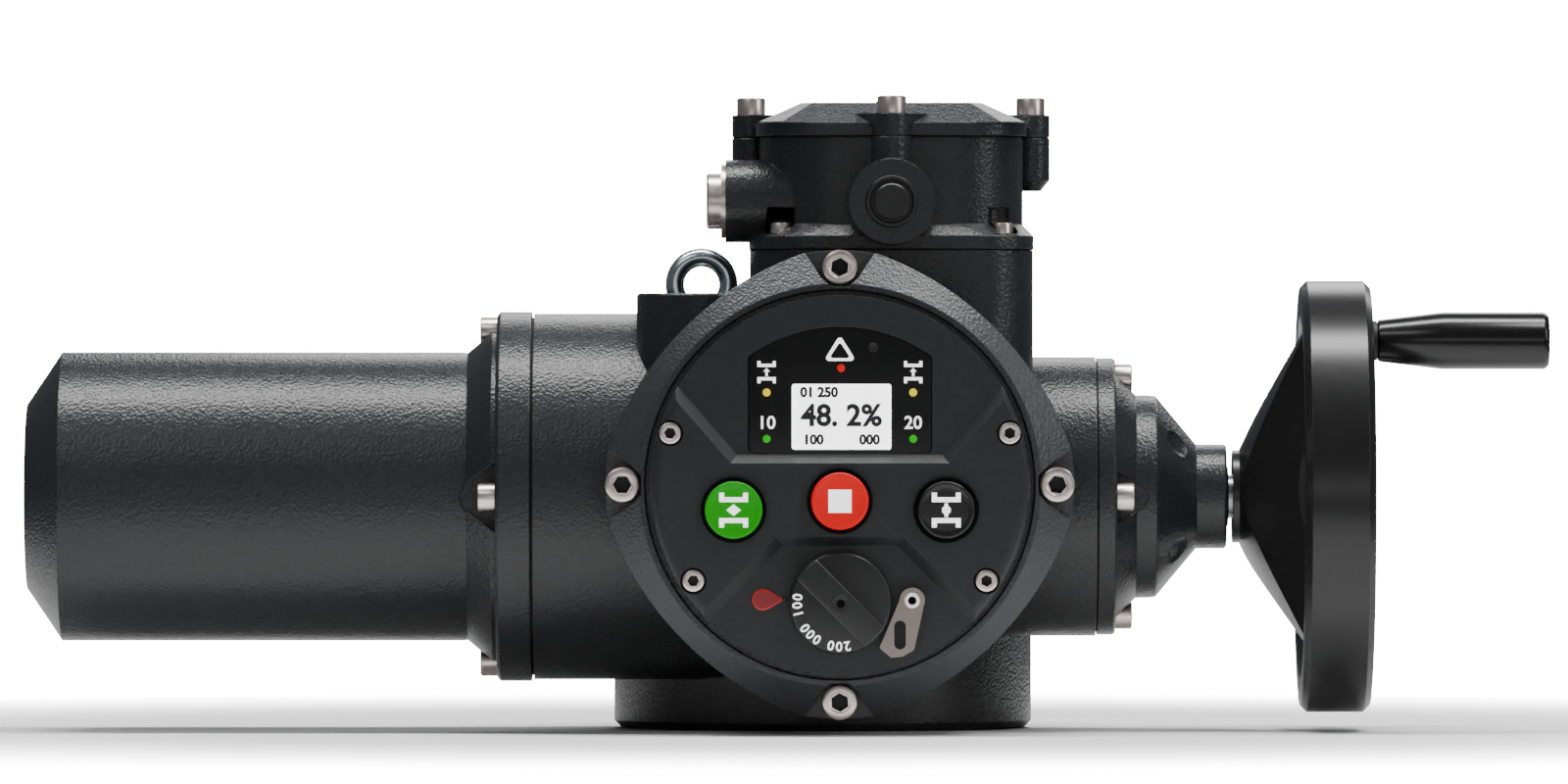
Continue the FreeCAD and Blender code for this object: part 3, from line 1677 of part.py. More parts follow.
def cover_seals():
    """Flat seals under the motor, handwheel and control covers, the terminal housing and its lid."""
    motor = tube("x", motor_barrel_radius - 2, motor_cavity_radius, motor_barrel_end - seal_gap,
                 motor_barrel_end, drive_at)
    side = tube("x", side_flange_radius - 2, hand_cavity_radius, hand_barrel_end,
                hand_barrel_end + seal_gap / 2, drive_at)
    front = tube("y", control_cover_radius - 3, front_cavity_radius, control_cover_back, front_face, panel_at)
    foot = terminal_flange_bottom()
    housing = square_prism(flange_half - 2, column_corner - 2, column_top, foot, column_at)
    housing = housing.cut(rod("z", column_cavity_radius, column_top - 1, column_top + 2, column_at))
    lid = square_prism(terminal_half - 1, terminal_corner - 1, terminal_top, lid_seat, column_at)
    inner = terminal_half - terminal_wall
    lid = lid.cut(square_prism(inner, terminal_cavity_corner, terminal_top - 1, terminal_top + 2, column_at))
    holes = [rod("x", m8_screw[2] + fit, motor_barrel_end - 3, motor_barrel_end + 1, at)
             for at in ring_places(cover_bolt_circle, drive_at)]
    holes += [rod("x", m8_screw[2] + fit, hand_barrel_end - 1, hand_barrel_end + 3, at)
              for at in ring_places(side_bolt_circle, drive_at)]
    holes += [rod("y", m10_screw[2] + fit, front_face - 3, front_face + 1, at)
              for at in ring_places(control_bolt_circle, panel_at)]
    holes += [rod("z", m6_screw[2] + fit, column_top - 1, column_top + 2, at)
              for at in terminal_bolt_places()]
    seals = [motor.cut(holes), side.cut(holes), front.cut(holes), housing.cut(holes), lid]
    return Part.makeCompound(seals)


def lid_bolt_places():
    return ring_places(lid_bolt_circle, column_at)


def terminal_flange_bottom():
    return column_top + terminal_seal


def terminal_housing():
    """Open box with four lid bosses, four foot screws and two cable entries."""
    low = terminal_flange_bottom()
    flange_top = low + flange_thickness
    x, y = column_at
    flange = square_prism(flange_half, column_corner, low, flange_top, column_at)
    pads = [rod("z", 9.5, low, flange_top, at) for at in terminal_bolt_places()]
    shoulder = Part.makeLoft([
        rounded_square(flange_half - 0.2, column_corner, flange_top, column_at),
        rounded_square(terminal_half - 0.2, terminal_corner - 2, flange_top + shoulder_height, column_at),
    ], True, True)
    body = square_prism(terminal_half, terminal_corner, low, terminal_top, column_at)
    bosses = []
    for at in lid_bolt_places():
        bosses.append(turned("z", [
            (lid_boss_bottom - 5, 0),
            (lid_boss_bottom - 5, lid_boss_radius - 4),
            (lid_boss_bottom, lid_boss_radius),
            (terminal_top, lid_boss_radius),
            (terminal_top, 0),
        ], at))
    side_entry = rod("x", entry_side_radius, entry_side_face, x, (entry_side_y, entry_side_z))
    front_entry = rod("y", entry_front_radius, entry_front_face, y, (x, entry_front_z))
    outside = joined([flange, shoulder, body, side_entry, front_entry] + pads + bosses)
    floor = flange_top
    inner = terminal_half - terminal_wall
    cavity = square_prism(inner, terminal_cavity_corner, floor, terminal_top + 1, column_at)
    cuts = [cavity, rod("z", terminal_floor_hole, low - 1, floor + 1, column_at)]
    cuts.append(rod("x", entry_bore, entry_side_face - 1, x - inner + 14, (entry_side_y, entry_side_z)))
    cuts.append(rod("y", entry_bore, entry_front_face - 1, y - inner + 8, (x, entry_front_z)))
    for at in terminal_bolt_places():
        cuts.append(rod("z", bolt_pocket_radius, flange_top, flange_top + bolt_pocket_height, at))
        cuts.append(rod("z", m6_screw[2] + fit, low - 1, flange_top + 1, at))
    for at in lid_bolt_places():
        cuts.append(rod("z", m8_screw[2] + fit, terminal_top - 14, terminal_top + 1, at))
    return outside.cut(cuts)


def terminal_housing_bolts():
    head_radius, head_height, shank_radius, shank_length = m6_screw
    seat = terminal_flange_bottom() + flange_thickness
    size = (head_radius, head_height, shank_radius, flange_thickness + shank_length)
    return Part.makeCompound([cap_screw("z", 1, seat, at, size) for at in terminal_bolt_places()])


def lid_pad():
    """One screw boss of the lid, with the flat that flares back over the slope."""
    x, y = column_at
    boss = rod("z", lid_boss_radius, lid_seat, lid_pad_top, (x + lid_bolt_circle, y))
    inner = lid_half - lid_flare_depth
    low = lid_seat + lid_flare_lift
    points = [
        Vector(x + lid_bolt_circle, y - lid_boss_radius, low),
        Vector(x + inner, y - lid_flare_half_width, low),
        Vector(x + inner, y + lid_flare_half_width, low),
        Vector(x + lid_bolt_circle, y + lid_boss_radius, low),
    ]
    return boss.fuse(prism(points, Vector(0, 0, lid_pad_top - low)))


def terminal_lid():
    """Shallow pyramid lid with ridged hips."""
    edge = square_prism(lid_half, lid_corner, lid_seat, lid_edge_top, column_at)
    roof = Part.makeLoft([
        cut_square(lid_half - 0.6, lid_corner_cut, lid_edge_top, column_at),
        cut_square(lid_top_half, lid_top_corner_cut, lid_top, column_at),
    ], True, True)
    pads = around(lid_pad(), "z", column_at, [0, 90, 180, 270])
    lid = edge.fuse([roof] + pads)
    inner = terminal_half - terminal_wall
    hollow = square_prism(inner, terminal_cavity_corner, lid_seat - 1, lid_edge_top, column_at)
    roof_hollow = Part.makeLoft([
        cut_square(inner - 6, lid_corner_cut, lid_edge_top - 0.5, column_at),
        cut_square(lid_top_half - 6, lid_top_corner_cut, lid_top - 5, column_at),
    ], True, True)
    holes = [rod("z", m8_screw[2] + fit, lid_seat - 1, lid_pad_top + 1, at) for at in lid_bolt_places()]
    heads = [rod("z", m8_screw[0] + free, lid_pad_top, lid_top + m8_screw[1], at) for at in lid_bolt_places()]
    return lid.cut([hollow, roof_hollow] + holes + heads)


def terminal_lid_bolts():
    head_radius, head_height, shank_radius, shank_length = m8_screw
    size = (head_radius, head_height, shank_radius, shank_length + lid_pad_top - terminal_top - 2)
    return Part.makeCompound([cap_screw("z", 1, lid_pad_top, at, size) for at in lid_bolt_places()])


def cable_plug_side():
    """Steel screw plug with its washer in the side cable entry."""
    face = entry_side_face
    washer = face - 2
    head = washer - plug_head_height
    outline = [
        (head, 0),
        (head, plug_head_radius - 1),
        (head + 1, plug_head_radius),
        (washer, plug_head_radius),
        (washer, plug_washer_radius),
        (face, plug_washer_radius),
        (face, entry_bore - fit),
        (face + plug_thread_length, entry_bore - fit),
        (face + plug_thread_length, 0),
    ]
    return turned("x", outline, (entry_side_y, entry_side_z))


def cable_plug_front():
    """Black plug in the front cable entry."""
    face = entry_front_face
    disc = front_plug_disc_radius
    outline = [
        (face - 1.5, 0),
        (face - 1.5, disc - 0.6),
        (face - 0.9, disc),
        (face + 1, disc),
        (face + 1, disc + 1.4),
        (face - 0.5, disc + 1.8),
        (face - 0.5, entry_bore - 0.5),
        (face, entry_bore - fit),
        (face + plug_thread_length, entry_bore - fit),
        (face + plug_thread_length, 0),
    ]
    return turned("y", outline, (column_at[0], entry_front_z))


def terminal_block():
    """Round plug-in carrier that stands on the floor of the terminal housing."""
    floor = terminal_flange_bottom() + flange_thickness
    top = floor + terminal_block_height
    body = rod("z", terminal_block_radius, floor, top, column_at)
    well = rod("z", stud_circle_radius - 10, floor + 6, top + 1, column_at)
    slots = []
    for at in ring_places(stud_circle_radius + 8, column_at, 180 / stud_count, stud_count):
        slots.append(rod("z", 3, floor + 8, top + 1, at))
    return body.cut([well] + slots)


def terminal_studs():
    top = terminal_flange_bottom() + flange_thickness + terminal_block_height
    places = ring_places(stud_circle_radius, column_at, 0, stud_count)
    return Part.makeCompound([rod("z", stud_radius, top, top + stud_height, at) for at in places])


PIECES = [
    gear_casing, motor_cover, motor_cover_bolts, motor_stator, stator_winding, motor_bearings,
    motor_end_shield, worm_bearings, worm_bearing_carrier, handwheel_cover, handwheel_cover_bolts,
    handwheel_shaft_bush, handwheel_shaft_seal, eyebolt, output_bearings, bearing_retainer_ring,
    output_seal, stem_cap_plug, control_cover, control_cover_bolts, cover_seals, operator_panel,
    panel_screws, display_window, display_board, status_lamps, button_rings, mode_pointer,
    hasp_rivet, logic_board, power_supply, encoder_sensor, terminal_housing, terminal_housing_bolts,
    terminal_lid, terminal_lid_bolts, cable_plug_side, cable_plug_front, terminal_block,
    terminal_studs, output_sleeve, worm_wheel, drive_bush, encoder_magnet_ring, worm_shaft,
    torque_spring_pack, clutch_hub, shaft_coupling, motor_rotor, handwheel, handwheel_shaft,
    handwheel_screw, crank_spindle, crank_grip, clutch_ring, open_button, stop_button, close_button,
    selector_knob, padlock_hasp,
]

os.makedirs("parts", exist_ok=True)
for make in PIECES:
    make().exportStep("parts/" + make.__name__ + ".step")
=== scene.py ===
"""Looks of the multi-turn electric actuator, built around the packed frame.

All places are in the part's own frame: the output axis is Z, the handwheel lies
on the +X side and the operator panel faces -Y. Sizes are written in millimetres
and turned into metres where a mesh is made.
"""

from __future__ import annotations

import logging
import math
from dataclasses import dataclass
from enum import Enum
from typing import Sequence

import bpy
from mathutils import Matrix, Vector

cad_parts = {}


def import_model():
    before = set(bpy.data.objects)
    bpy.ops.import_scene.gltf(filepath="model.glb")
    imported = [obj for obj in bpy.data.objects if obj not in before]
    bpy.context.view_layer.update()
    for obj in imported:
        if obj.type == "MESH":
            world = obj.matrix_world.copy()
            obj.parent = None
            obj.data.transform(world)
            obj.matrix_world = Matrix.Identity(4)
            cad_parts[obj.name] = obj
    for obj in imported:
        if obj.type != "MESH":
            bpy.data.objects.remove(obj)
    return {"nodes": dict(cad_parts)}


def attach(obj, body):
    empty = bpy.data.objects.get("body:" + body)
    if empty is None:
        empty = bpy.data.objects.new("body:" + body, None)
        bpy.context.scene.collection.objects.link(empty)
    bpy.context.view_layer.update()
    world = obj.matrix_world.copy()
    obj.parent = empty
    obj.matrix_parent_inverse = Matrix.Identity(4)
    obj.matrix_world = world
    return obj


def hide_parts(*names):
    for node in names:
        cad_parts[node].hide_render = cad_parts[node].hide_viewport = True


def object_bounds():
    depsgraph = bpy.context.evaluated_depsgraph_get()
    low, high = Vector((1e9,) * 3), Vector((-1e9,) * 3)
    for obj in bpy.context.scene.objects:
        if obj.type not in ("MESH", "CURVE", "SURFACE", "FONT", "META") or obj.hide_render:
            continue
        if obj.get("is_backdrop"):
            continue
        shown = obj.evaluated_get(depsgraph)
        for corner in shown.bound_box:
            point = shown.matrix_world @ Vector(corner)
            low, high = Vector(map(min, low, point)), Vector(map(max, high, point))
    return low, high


MM = 0.001
QUARTER_TURN = math.pi / 2
SAME_POINT = 0.000002
ON_PLANE = 0.000001
# Height of a figure as a share of the font's size.
CAP_SHARE = 0.72

# Sockets of a Mix node that is set to colours.
MIX_FACTOR, MIX_FIRST, MIX_SECOND, MIX_RESULT = 0, 6, 7, 2

# Centres of the operator panel (X, Z), the terminal column (X, Y) and the drive line (Y, Z).
PANEL_CENTRE = (7.3, 113.0)
COLUMN_CENTRE = (31.0, -90.0)
DRIVE_CENTRE = (-70.0, 107.0)
LID_BOLT_CIRCLE = 64.0

Piece = bpy.types.Object
Socket = bpy.types.NodeSocket
Inputs = dict[int | str, object]
Spot = tuple[float, float]
Place = tuple[float, float, float]
Colour = tuple[float, float, float]

log = logging.getLogger("actuator")


def arc(radius: float, start: float, end: float, steps: int) -> list[Spot]:
    """Points on a circle about the origin, from one angle to another in radians."""
    angles = [start + (end - start) * step / steps for step in range(steps + 1)]
    return [(radius * math.cos(angle), radius * math.sin(angle)) for angle in angles]


def four_round(centre: Spot, radius: float, start: float = 0.0) -> list[Spot]:
    """Four places on a circle, from a start angle in degrees."""
    corners = arc(radius, math.radians(start), math.radians(start + 270), 3)
    return [(centre[0] + x, centre[1] + y) for x, y in corners]


class Facing(Enum):
    """Where a piece modelled along +Z points once it is placed."""

    FRONT = (QUARTER_TURN, 0.0, 0.0)
    UP = (0.0, 0.0, 0.0)
    RIGHT = (0.0, QUARTER_TURN, 0.0)
    LEFT = (0.0, -QUARTER_TURN, 0.0)


class Grain(Enum):
    """The relief of a finish."""

    LEATHER = "leather"
    FINE = "fine"
    BRUSHED = "brushed"
    CAST = "cast"


class Signal:
    """A shader socket that takes part in arithmetic."""

    def __init__(self, graph: Graph, socket: Socket) -> None:
        """Wraps a socket of a graph."""
        self.graph = graph
        self.socket = socket

    def _math(self, kind: str, first: object, second: object) -> Signal:
        """A Math node on two values."""
        made = self.graph.node("ShaderNodeMath", {"operation": kind}, {0: first, 1: second})
        return Signal(self.graph, made.outputs[0])

    def __add__(self, other: object) -> Signal:
        """This plus other."""
        return self._math("ADD", self, other)

    def __sub__(self, other: object) -> Signal:
        """This minus other."""
        return self._math("SUBTRACT", self, other)

    def __mul__(self, other: object) -> Signal:
        """This times other."""
        return self._math("MULTIPLY", self, other)

    def limited(self, low: float, high: float) -> Signal:
        """This value kept between two limits."""
        return self._math("MINIMUM", self._math("MAXIMUM", self, low), high)


class Graph:
    """The node tree of a material or of the world."""

    def __init__(self, owner: bpy.types.Material | bpy.types.World) -> None:
        """Empties the owner's node tree.

        Args:
            owner: a material or a world.
        """
        self.owner = owner
        owner.use_nodes = True
        self.tree = owner.node_tree
        self.tree.nodes.clear()

    def node(
        self, kind: str, settings: dict[str, object] | None = None, inputs: Inputs | None = None
    ) -> bpy.types.Node:
        """Adds a node, sets it up and feeds its sockets.

        Args:
            kind: the node's type.
            settings: attributes to set first.
            inputs: values, signals or sockets, by socket name or number.

        Returns:
            The new node.
        """
        made = self.tree.nodes.new(kind)
        for key, value in (settings or {}).items():
            setattr(made, key, value)
        for key, value in (inputs or {}).items():
            socket = made.inputs[key]
            if isinstance(value, Signal):
                self.tree.links.new(value.socket, socket)
            elif isinstance(value, Socket):
                self.tree.links.new(value, socket)
            else:
                socket.default_value = value
        return made

    def place(self) -> Socket:
        """Object coordinates, in metres."""
        return self.node("ShaderNodeTexCoord").outputs["Object"]

    def noise(self, vector: object, scale: float, detail: float = 2.0, rough: float = 0.5) -> Signal:
        """Noise from 0 to 1.

        Args:
            vector: where to read it.
            scale: cells per metre.
            detail: octaves.
            rough: strength of the fine octaves.

        Returns:
            The noise value.
        """
        inputs = {"Vector": vector, "Scale": scale, "Detail": detail, "Roughness": rough}
        return Signal(self, self.node("ShaderNodeTexNoise", None, inputs).outputs[0])

    def cells(self, vector: object, scale: float) -> Signal:
        """Soft-edged cell distances."""
        inputs = {"Vector": vector, "Scale": scale, "Smoothness": 0.6}
        made = self.node("ShaderNodeTexVoronoi", {"feature": "SMOOTH_F1"}, inputs)
        return Signal(self, made.outputs["Distance"])

    def stretched(self, vector: object, scale: Place) -> Socket:
        """Coordinates scaled differently along each axis."""
        return self.node("ShaderNodeMapping", None, {"Vector": vector, "Scale": scale}).outputs[0]

    def blend(self, share: object, first: Colour, second: Colour) -> Socket:
        """A colour between two, by a share from 0 to 1."""
        made = self.node("ShaderNodeMix", {"data_type": "RGBA"}, {MIX_FACTOR: share})
        made.inputs[MIX_FIRST].default_value = (*first, 1.0)
        made.inputs[MIX_SECOND].default_value = (*second, 1.0)
        return made.outputs[MIX_RESULT]

    def finish(
        self, shader: bpy.types.Node, output: str = "ShaderNodeOutputMaterial"
    ) -> bpy.types.Material | bpy.types.World:
        """Connects the shader to the output and hands back the owner."""
        self.node(output, None, {"Surface": shader.outputs[0]})
        return self.owner


@dataclass(frozen=True)
class Finish:
    """One surface finish of the actuator."""

    name: str
    slot: str
    colour: Colour
    second: Colour
    roughness: float
    spread: float = 0.06
    metallic: float = 0.0
    coat: float = 0.0
    grain: Grain = Grain.FINE
    depth: float = 0.0
    scale: float = 600.0
    # Emission strength: real light on the lamps and the screen, a painted glow on the white print, the green
    # and red buttons and the rivet.
    glow: float = 0.0
    round_edge: float = 0.0
    shine: float = 0.5
    coat_roughness: float = 0.06
    broad_tone: float = 14.0
    fine_tone: float = 240.0
    nodes: str = ""

    def relief(self, graph: Graph, place: Socket) -> Signal | None:
        """The height that the grain adds, from about 0 to 1.

        Args:
            graph: the material's graph.
            place: its coordinates.

        Returns:
            A height, or None for a smooth finish, whose depth is 0.
        """
        if not self.depth:
            return None
        if self.grain is Grain.LEATHER:
            wander = graph.noise(place, self.scale * 0.4, 2.0)
            cells = graph.cells(place, self.scale)
            fine = graph.noise(place, self.scale * 2.2, 2.0)
            return cells * 0.75 + wander * 0.5 + fine * 0.25
        if self.grain is Grain.CAST:
            return graph.noise(place, self.scale, 4.0, 0.6)
        if self.grain is Grain.BRUSHED:
            return graph.noise(graph.stretched(place, (0.04, 1.0, 1.0)), self.scale * 3, 2.0)
        return graph.noise(place, self.scale, 2.0)

    def build(self) -> bpy.types.Material:
        """Makes the material."""
        graph = Graph(bpy.data.materials.new(self.name))
        place = graph.place()
        broad = graph.noise(place, self.broad_tone, 3.0)
        fine = graph.noise(place, self.fine_tone, 2.0)
        tone = (broad * 0.7 + fine * 0.5 - 0.1).limited(0.0, 1.0)
        base = graph.blend(tone, self.colour, self.second)
        rough = (fine * (2 * self.spread) + (self.roughness - self.spread)).limited(0.03, 1.0)
        inputs: Inputs = {
            "Base Color": base,
            "Roughness": rough,
            "Metallic": self.metallic,
            "Specular IOR Level": self.shine,
            "Coat Weight": self.coat,
            "Coat Roughness": self.coat_roughness,
        }
        # Emission: the light of a lamp or the screen, or painted light on a part that is no lamp.
        if self.glow:
            inputs["Emission Color"] = (*self.second, 1.0)
            inputs["Emission Strength"] = self.glow
        height = self.relief(graph, place)
        rim = None
        if self.round_edge:
            rim = graph.node("ShaderNodeBevel", {"samples": 4}, {"Radius": self.round_edge * MM}).outputs[0]
        if height is not None:
            bump: Inputs = {"Height": height, "Distance": self.depth * MM, "Strength": 1.0}
            if rim is not None:
                bump["Normal"] = rim
            inputs["Normal"] = graph.node("ShaderNodeBump", None, bump).outputs[0]
        elif rim is not None:
            inputs["Normal"] = rim
        return graph.finish(graph.node("ShaderNodeBsdfPrincipled", None, inputs))


class Palette:
    """Every finish of the actuator, each made once."""

    CASTING = Finish(
        "powder_coat", "casting_paint", (0.013, 0.0135, 0.0148), (0.021, 0.0218, 0.0238), 0.31,
        grain=Grain.LEATHER, depth=0.26, scale=700.0, round_edge=0.9,
        nodes="gear_casing motor_cover handwheel_cover terminal_housing terminal_lid stem_cap_plug")
    # The casting paint made about twice as light for the control cover: painted light on its front-facing
    # faces.
    COVER = Finish(
        "cover_coat_painted_light", "casting_paint", (0.028, 0.0288, 0.0310), (0.042, 0.0432, 0.0464), 0.34,
        grain=Grain.LEATHER, depth=0.26, scale=700.0, round_edge=0.9, nodes="control_cover")
    PANEL = Finish(
        "panel_satin", "panel_black", (0.017, 0.0175, 0.0188), (0.024, 0.0247, 0.0264), 0.40,
        grain=Grain.LEATHER, depth=0.08, scale=800.0, round_edge=0.8, shine=0.35, nodes="operator_panel")
    # The grip's gloss black made about twice as light for the handwheel: painted light on its web flats.
    WHEEL = Finish(
        "wheel_gloss", "handwheel_gloss", (0.008, 0.008, 0.0085), (0.011, 0.011, 0.0116), 0.26,
        spread=0.02, round_edge=0.6, nodes="handwheel crank_grip")
    GRIP = Finish(
        "grip_gloss", "handwheel_gloss", (0.004, 0.004, 0.0044), (0.007, 0.007, 0.0075), 0.22, spread=0.02)
    SCREW = Finish(
        "screw_stainless", "screw_steel", (0.74, 0.64, 0.60), (0.86, 0.77, 0.73), 0.30,
        metallic=1.0, depth=0.01, scale=900.0,
        nodes="cable_plug_side motor_cover_bolts handwheel_cover_bolts control_cover_bolts "
              "panel_screws terminal_housing_bolts terminal_lid_bolts handwheel_screw")
    ZINC = Finish(
        "zinc_plate", "zinc", (0.50, 0.56, 0.60), (0.68, 0.72, 0.75), 0.22,
        metallic=1.0, grain=Grain.CAST, depth=0.02, scale=420.0, nodes="eyebolt")
    STAINLESS = Finish(
        "brushed_stainless", "stainless", (0.25, 0.215, 0.195), (0.33, 0.29, 0.265), 0.42,
        metallic=1.0, grain=Grain.BRUSHED, depth=0.008, scale=900.0, round_edge=0.4,
        nodes="padlock_hasp hasp_rivet")
    MACHINED = Finish(
        "machined_steel", "machined_steel", (0.42, 0.43, 0.44), (0.56, 0.57, 0.58), 0.30,
        metallic=1.0, grain=Grain.BRUSHED, depth=0.008, scale=500.0,
        nodes="motor_stator motor_bearings worm_bearings output_bearings output_sleeve drive_bush "
              "worm_shaft torque_spring_pack clutch_hub shaft_coupling motor_rotor handwheel_shaft "
              "clutch_ring")
    BRONZE = Finish(
        "worm_wheel_bronze", "bronze", (0.52, 0.32, 0.12), (0.64, 0.42, 0.18), 0.34,
        metallic=1.0, depth=0.01, scale=500.0, nodes="worm_wheel handwheel_shaft_bush terminal_studs")
    COPPER = Finish(
        "winding_copper", "copper", (0.55, 0.20, 0.08), (0.70, 0.30, 0.13), 0.30,
        metallic=1.0, coat=0.4, grain=Grain.BRUSHED, depth=0.05, scale=250.0, nodes="stator_winding")
    RUBBER = Finish(
        "seal_rubber", "seal_rubber", (0.006, 0.006, 0.006), (0.012, 0.012, 0.012), 0.75,
        depth=0.02, scale=500.0, nodes="handwheel_shaft_seal output_seal cover_seals")
    IRON = Finish(
        "cast_iron", "cast_iron_inner", (0.06, 0.06, 0.062), (0.10, 0.10, 0.10), 0.60,
        metallic=0.4, grain=Grain.CAST, depth=0.12, scale=300.0,
        nodes="motor_end_shield worm_bearing_carrier bearing_retainer_ring encoder_magnet_ring "
              "encoder_sensor power_supply")
    BOARD = Finish(
        "circuit_board", "board_green", (0.010, 0.060, 0.025), (0.016, 0.085, 0.035), 0.35,
        coat=0.3, depth=0.01, scale=300.0, nodes="display_board logic_board")
    MOULDED = Finish(
        "moulded_black", "black_plastic", (0.008, 0.008, 0.0085), (0.013, 0.013, 0.014), 0.38,
        depth=0.02, scale=700.0, round_edge=0.5,
        nodes="selector_knob cable_plug_front terminal_block display_window")
    WINDOW = Finish(
        "window_black", "window_glass", (0.004, 0.004, 0.0045), (0.006, 0.006, 0.0065), 0.34,
        spread=0.03, shine=0.25)
    SCREEN = Finish(
        "screen_white", "window_glass", (0.84, 0.85, 0.85), (0.90, 0.91, 0.91), 0.30, spread=0.03, glow=3.0)
    INK = Finish(
        "screen_ink", "window_glass", (0.010, 0.010, 0.012), (0.016, 0.016, 0.018), 0.4)
    # White print with a glow: painted light, as the print is no lamp.
    WHITE = Finish(
        "printed_white_painted_glow", "panel_black", (0.84, 0.84, 0.84), (0.90, 0.90, 0.90), 0.42,
        depth=0.01, scale=900.0, glow=1.6)
    LAMP_YELLOW = Finish(
        "lamp_yellow", "lamp", (0.62, 0.46, 0.0), (0.70, 0.53, 0.0), 0.5, glow=0.9, shine=0.1)
    LAMP_GREEN = Finish(
        "lamp_green", "lamp", (0.0, 0.36, 0.0), (0.0, 0.44, 0.0), 0.4, glow=0.5, shine=0.2,
        nodes="status_lamps")
    LAMP_RED = Finish(
        "lamp_red", "lamp", (0.55, 0.0, 0.0), (0.66, 0.0, 0.0), 0.4, glow=0.5, shine=0.2)
    # The green cap glows: painted light, as the button is no lamp.
    GREEN = Finish(
        "button_green", "button_green", (0.0, 0.26, 0.001), (0.0, 0.32, 0.002), 0.45,
        spread=0.04, depth=0.008, scale=500.0, glow=0.25, shine=0.3, nodes="open_button")
    # The red cap and the pointer glow: painted light, as they are no lamps.
    RED = Finish(
        "button_red", "button_red", (0.60, 0.0, 0.001), (0.70, 0.0, 0.002), 0.45,
        spread=0.04, depth=0.008, scale=500.0, glow=0.35, shine=0.3, nodes="stop_button mode_pointer")
    BLACK = Finish(
        "button_black", "button_black", (0.007, 0.007, 0.0075), (0.011, 0.011, 0.012), 0.26,
        spread=0.04, depth=0.008, scale=500.0, nodes="close_button")
    POINTER = Finish(
        "pointer_red", "button_red", (0.22, 0.012, 0.014), (0.27, 0.018, 0.020), 0.40)
    POINTER_RIM = Finish(
        "pointer_rim", "button_red", (0.55, 0.012, 0.014), (0.62, 0.02, 0.02), 0.4)
    # Steel with a glow: a painted highlight on the rivet's head.
    RIVET = Finish(
        "rivet_steel_painted_glow", "screw_steel", (0.74, 0.73, 0.72), (0.82, 0.81, 0.80), 0.38, metallic=1.0, glow=0.5)
    # Near-black, with almost no shine: the button rings, the middle of the knob's cap, and painted shade in
    # the rivet's hollow.
    RING = Finish(
        "deep_black_and_hollow_shade", "panel_black", (0.0022, 0.0022, 0.0024), (0.0032, 0.0032, 0.0034), 0.62,
        shine=0.05, nodes="button_rings")
    # Near-black: painted shade down in the screw sockets, and the dark crank spindle.
    SOCKET = Finish(
        "socket_shade_and_dark_steel", "screw_steel", (0.010, 0.009, 0.009), (0.018, 0.016, 0.015), 0.55,
        nodes="crank_spindle")

    made: dict[str, bpy.types.Material] = {}

    @classmethod
    def material(cls, finish: Finish) -> bpy.types.Material:
        """The material of a finish, made at its first use."""
        if finish.name not in cls.made:
            cls.made[finish.name] = finish.build()
        return cls.made[finish.name]


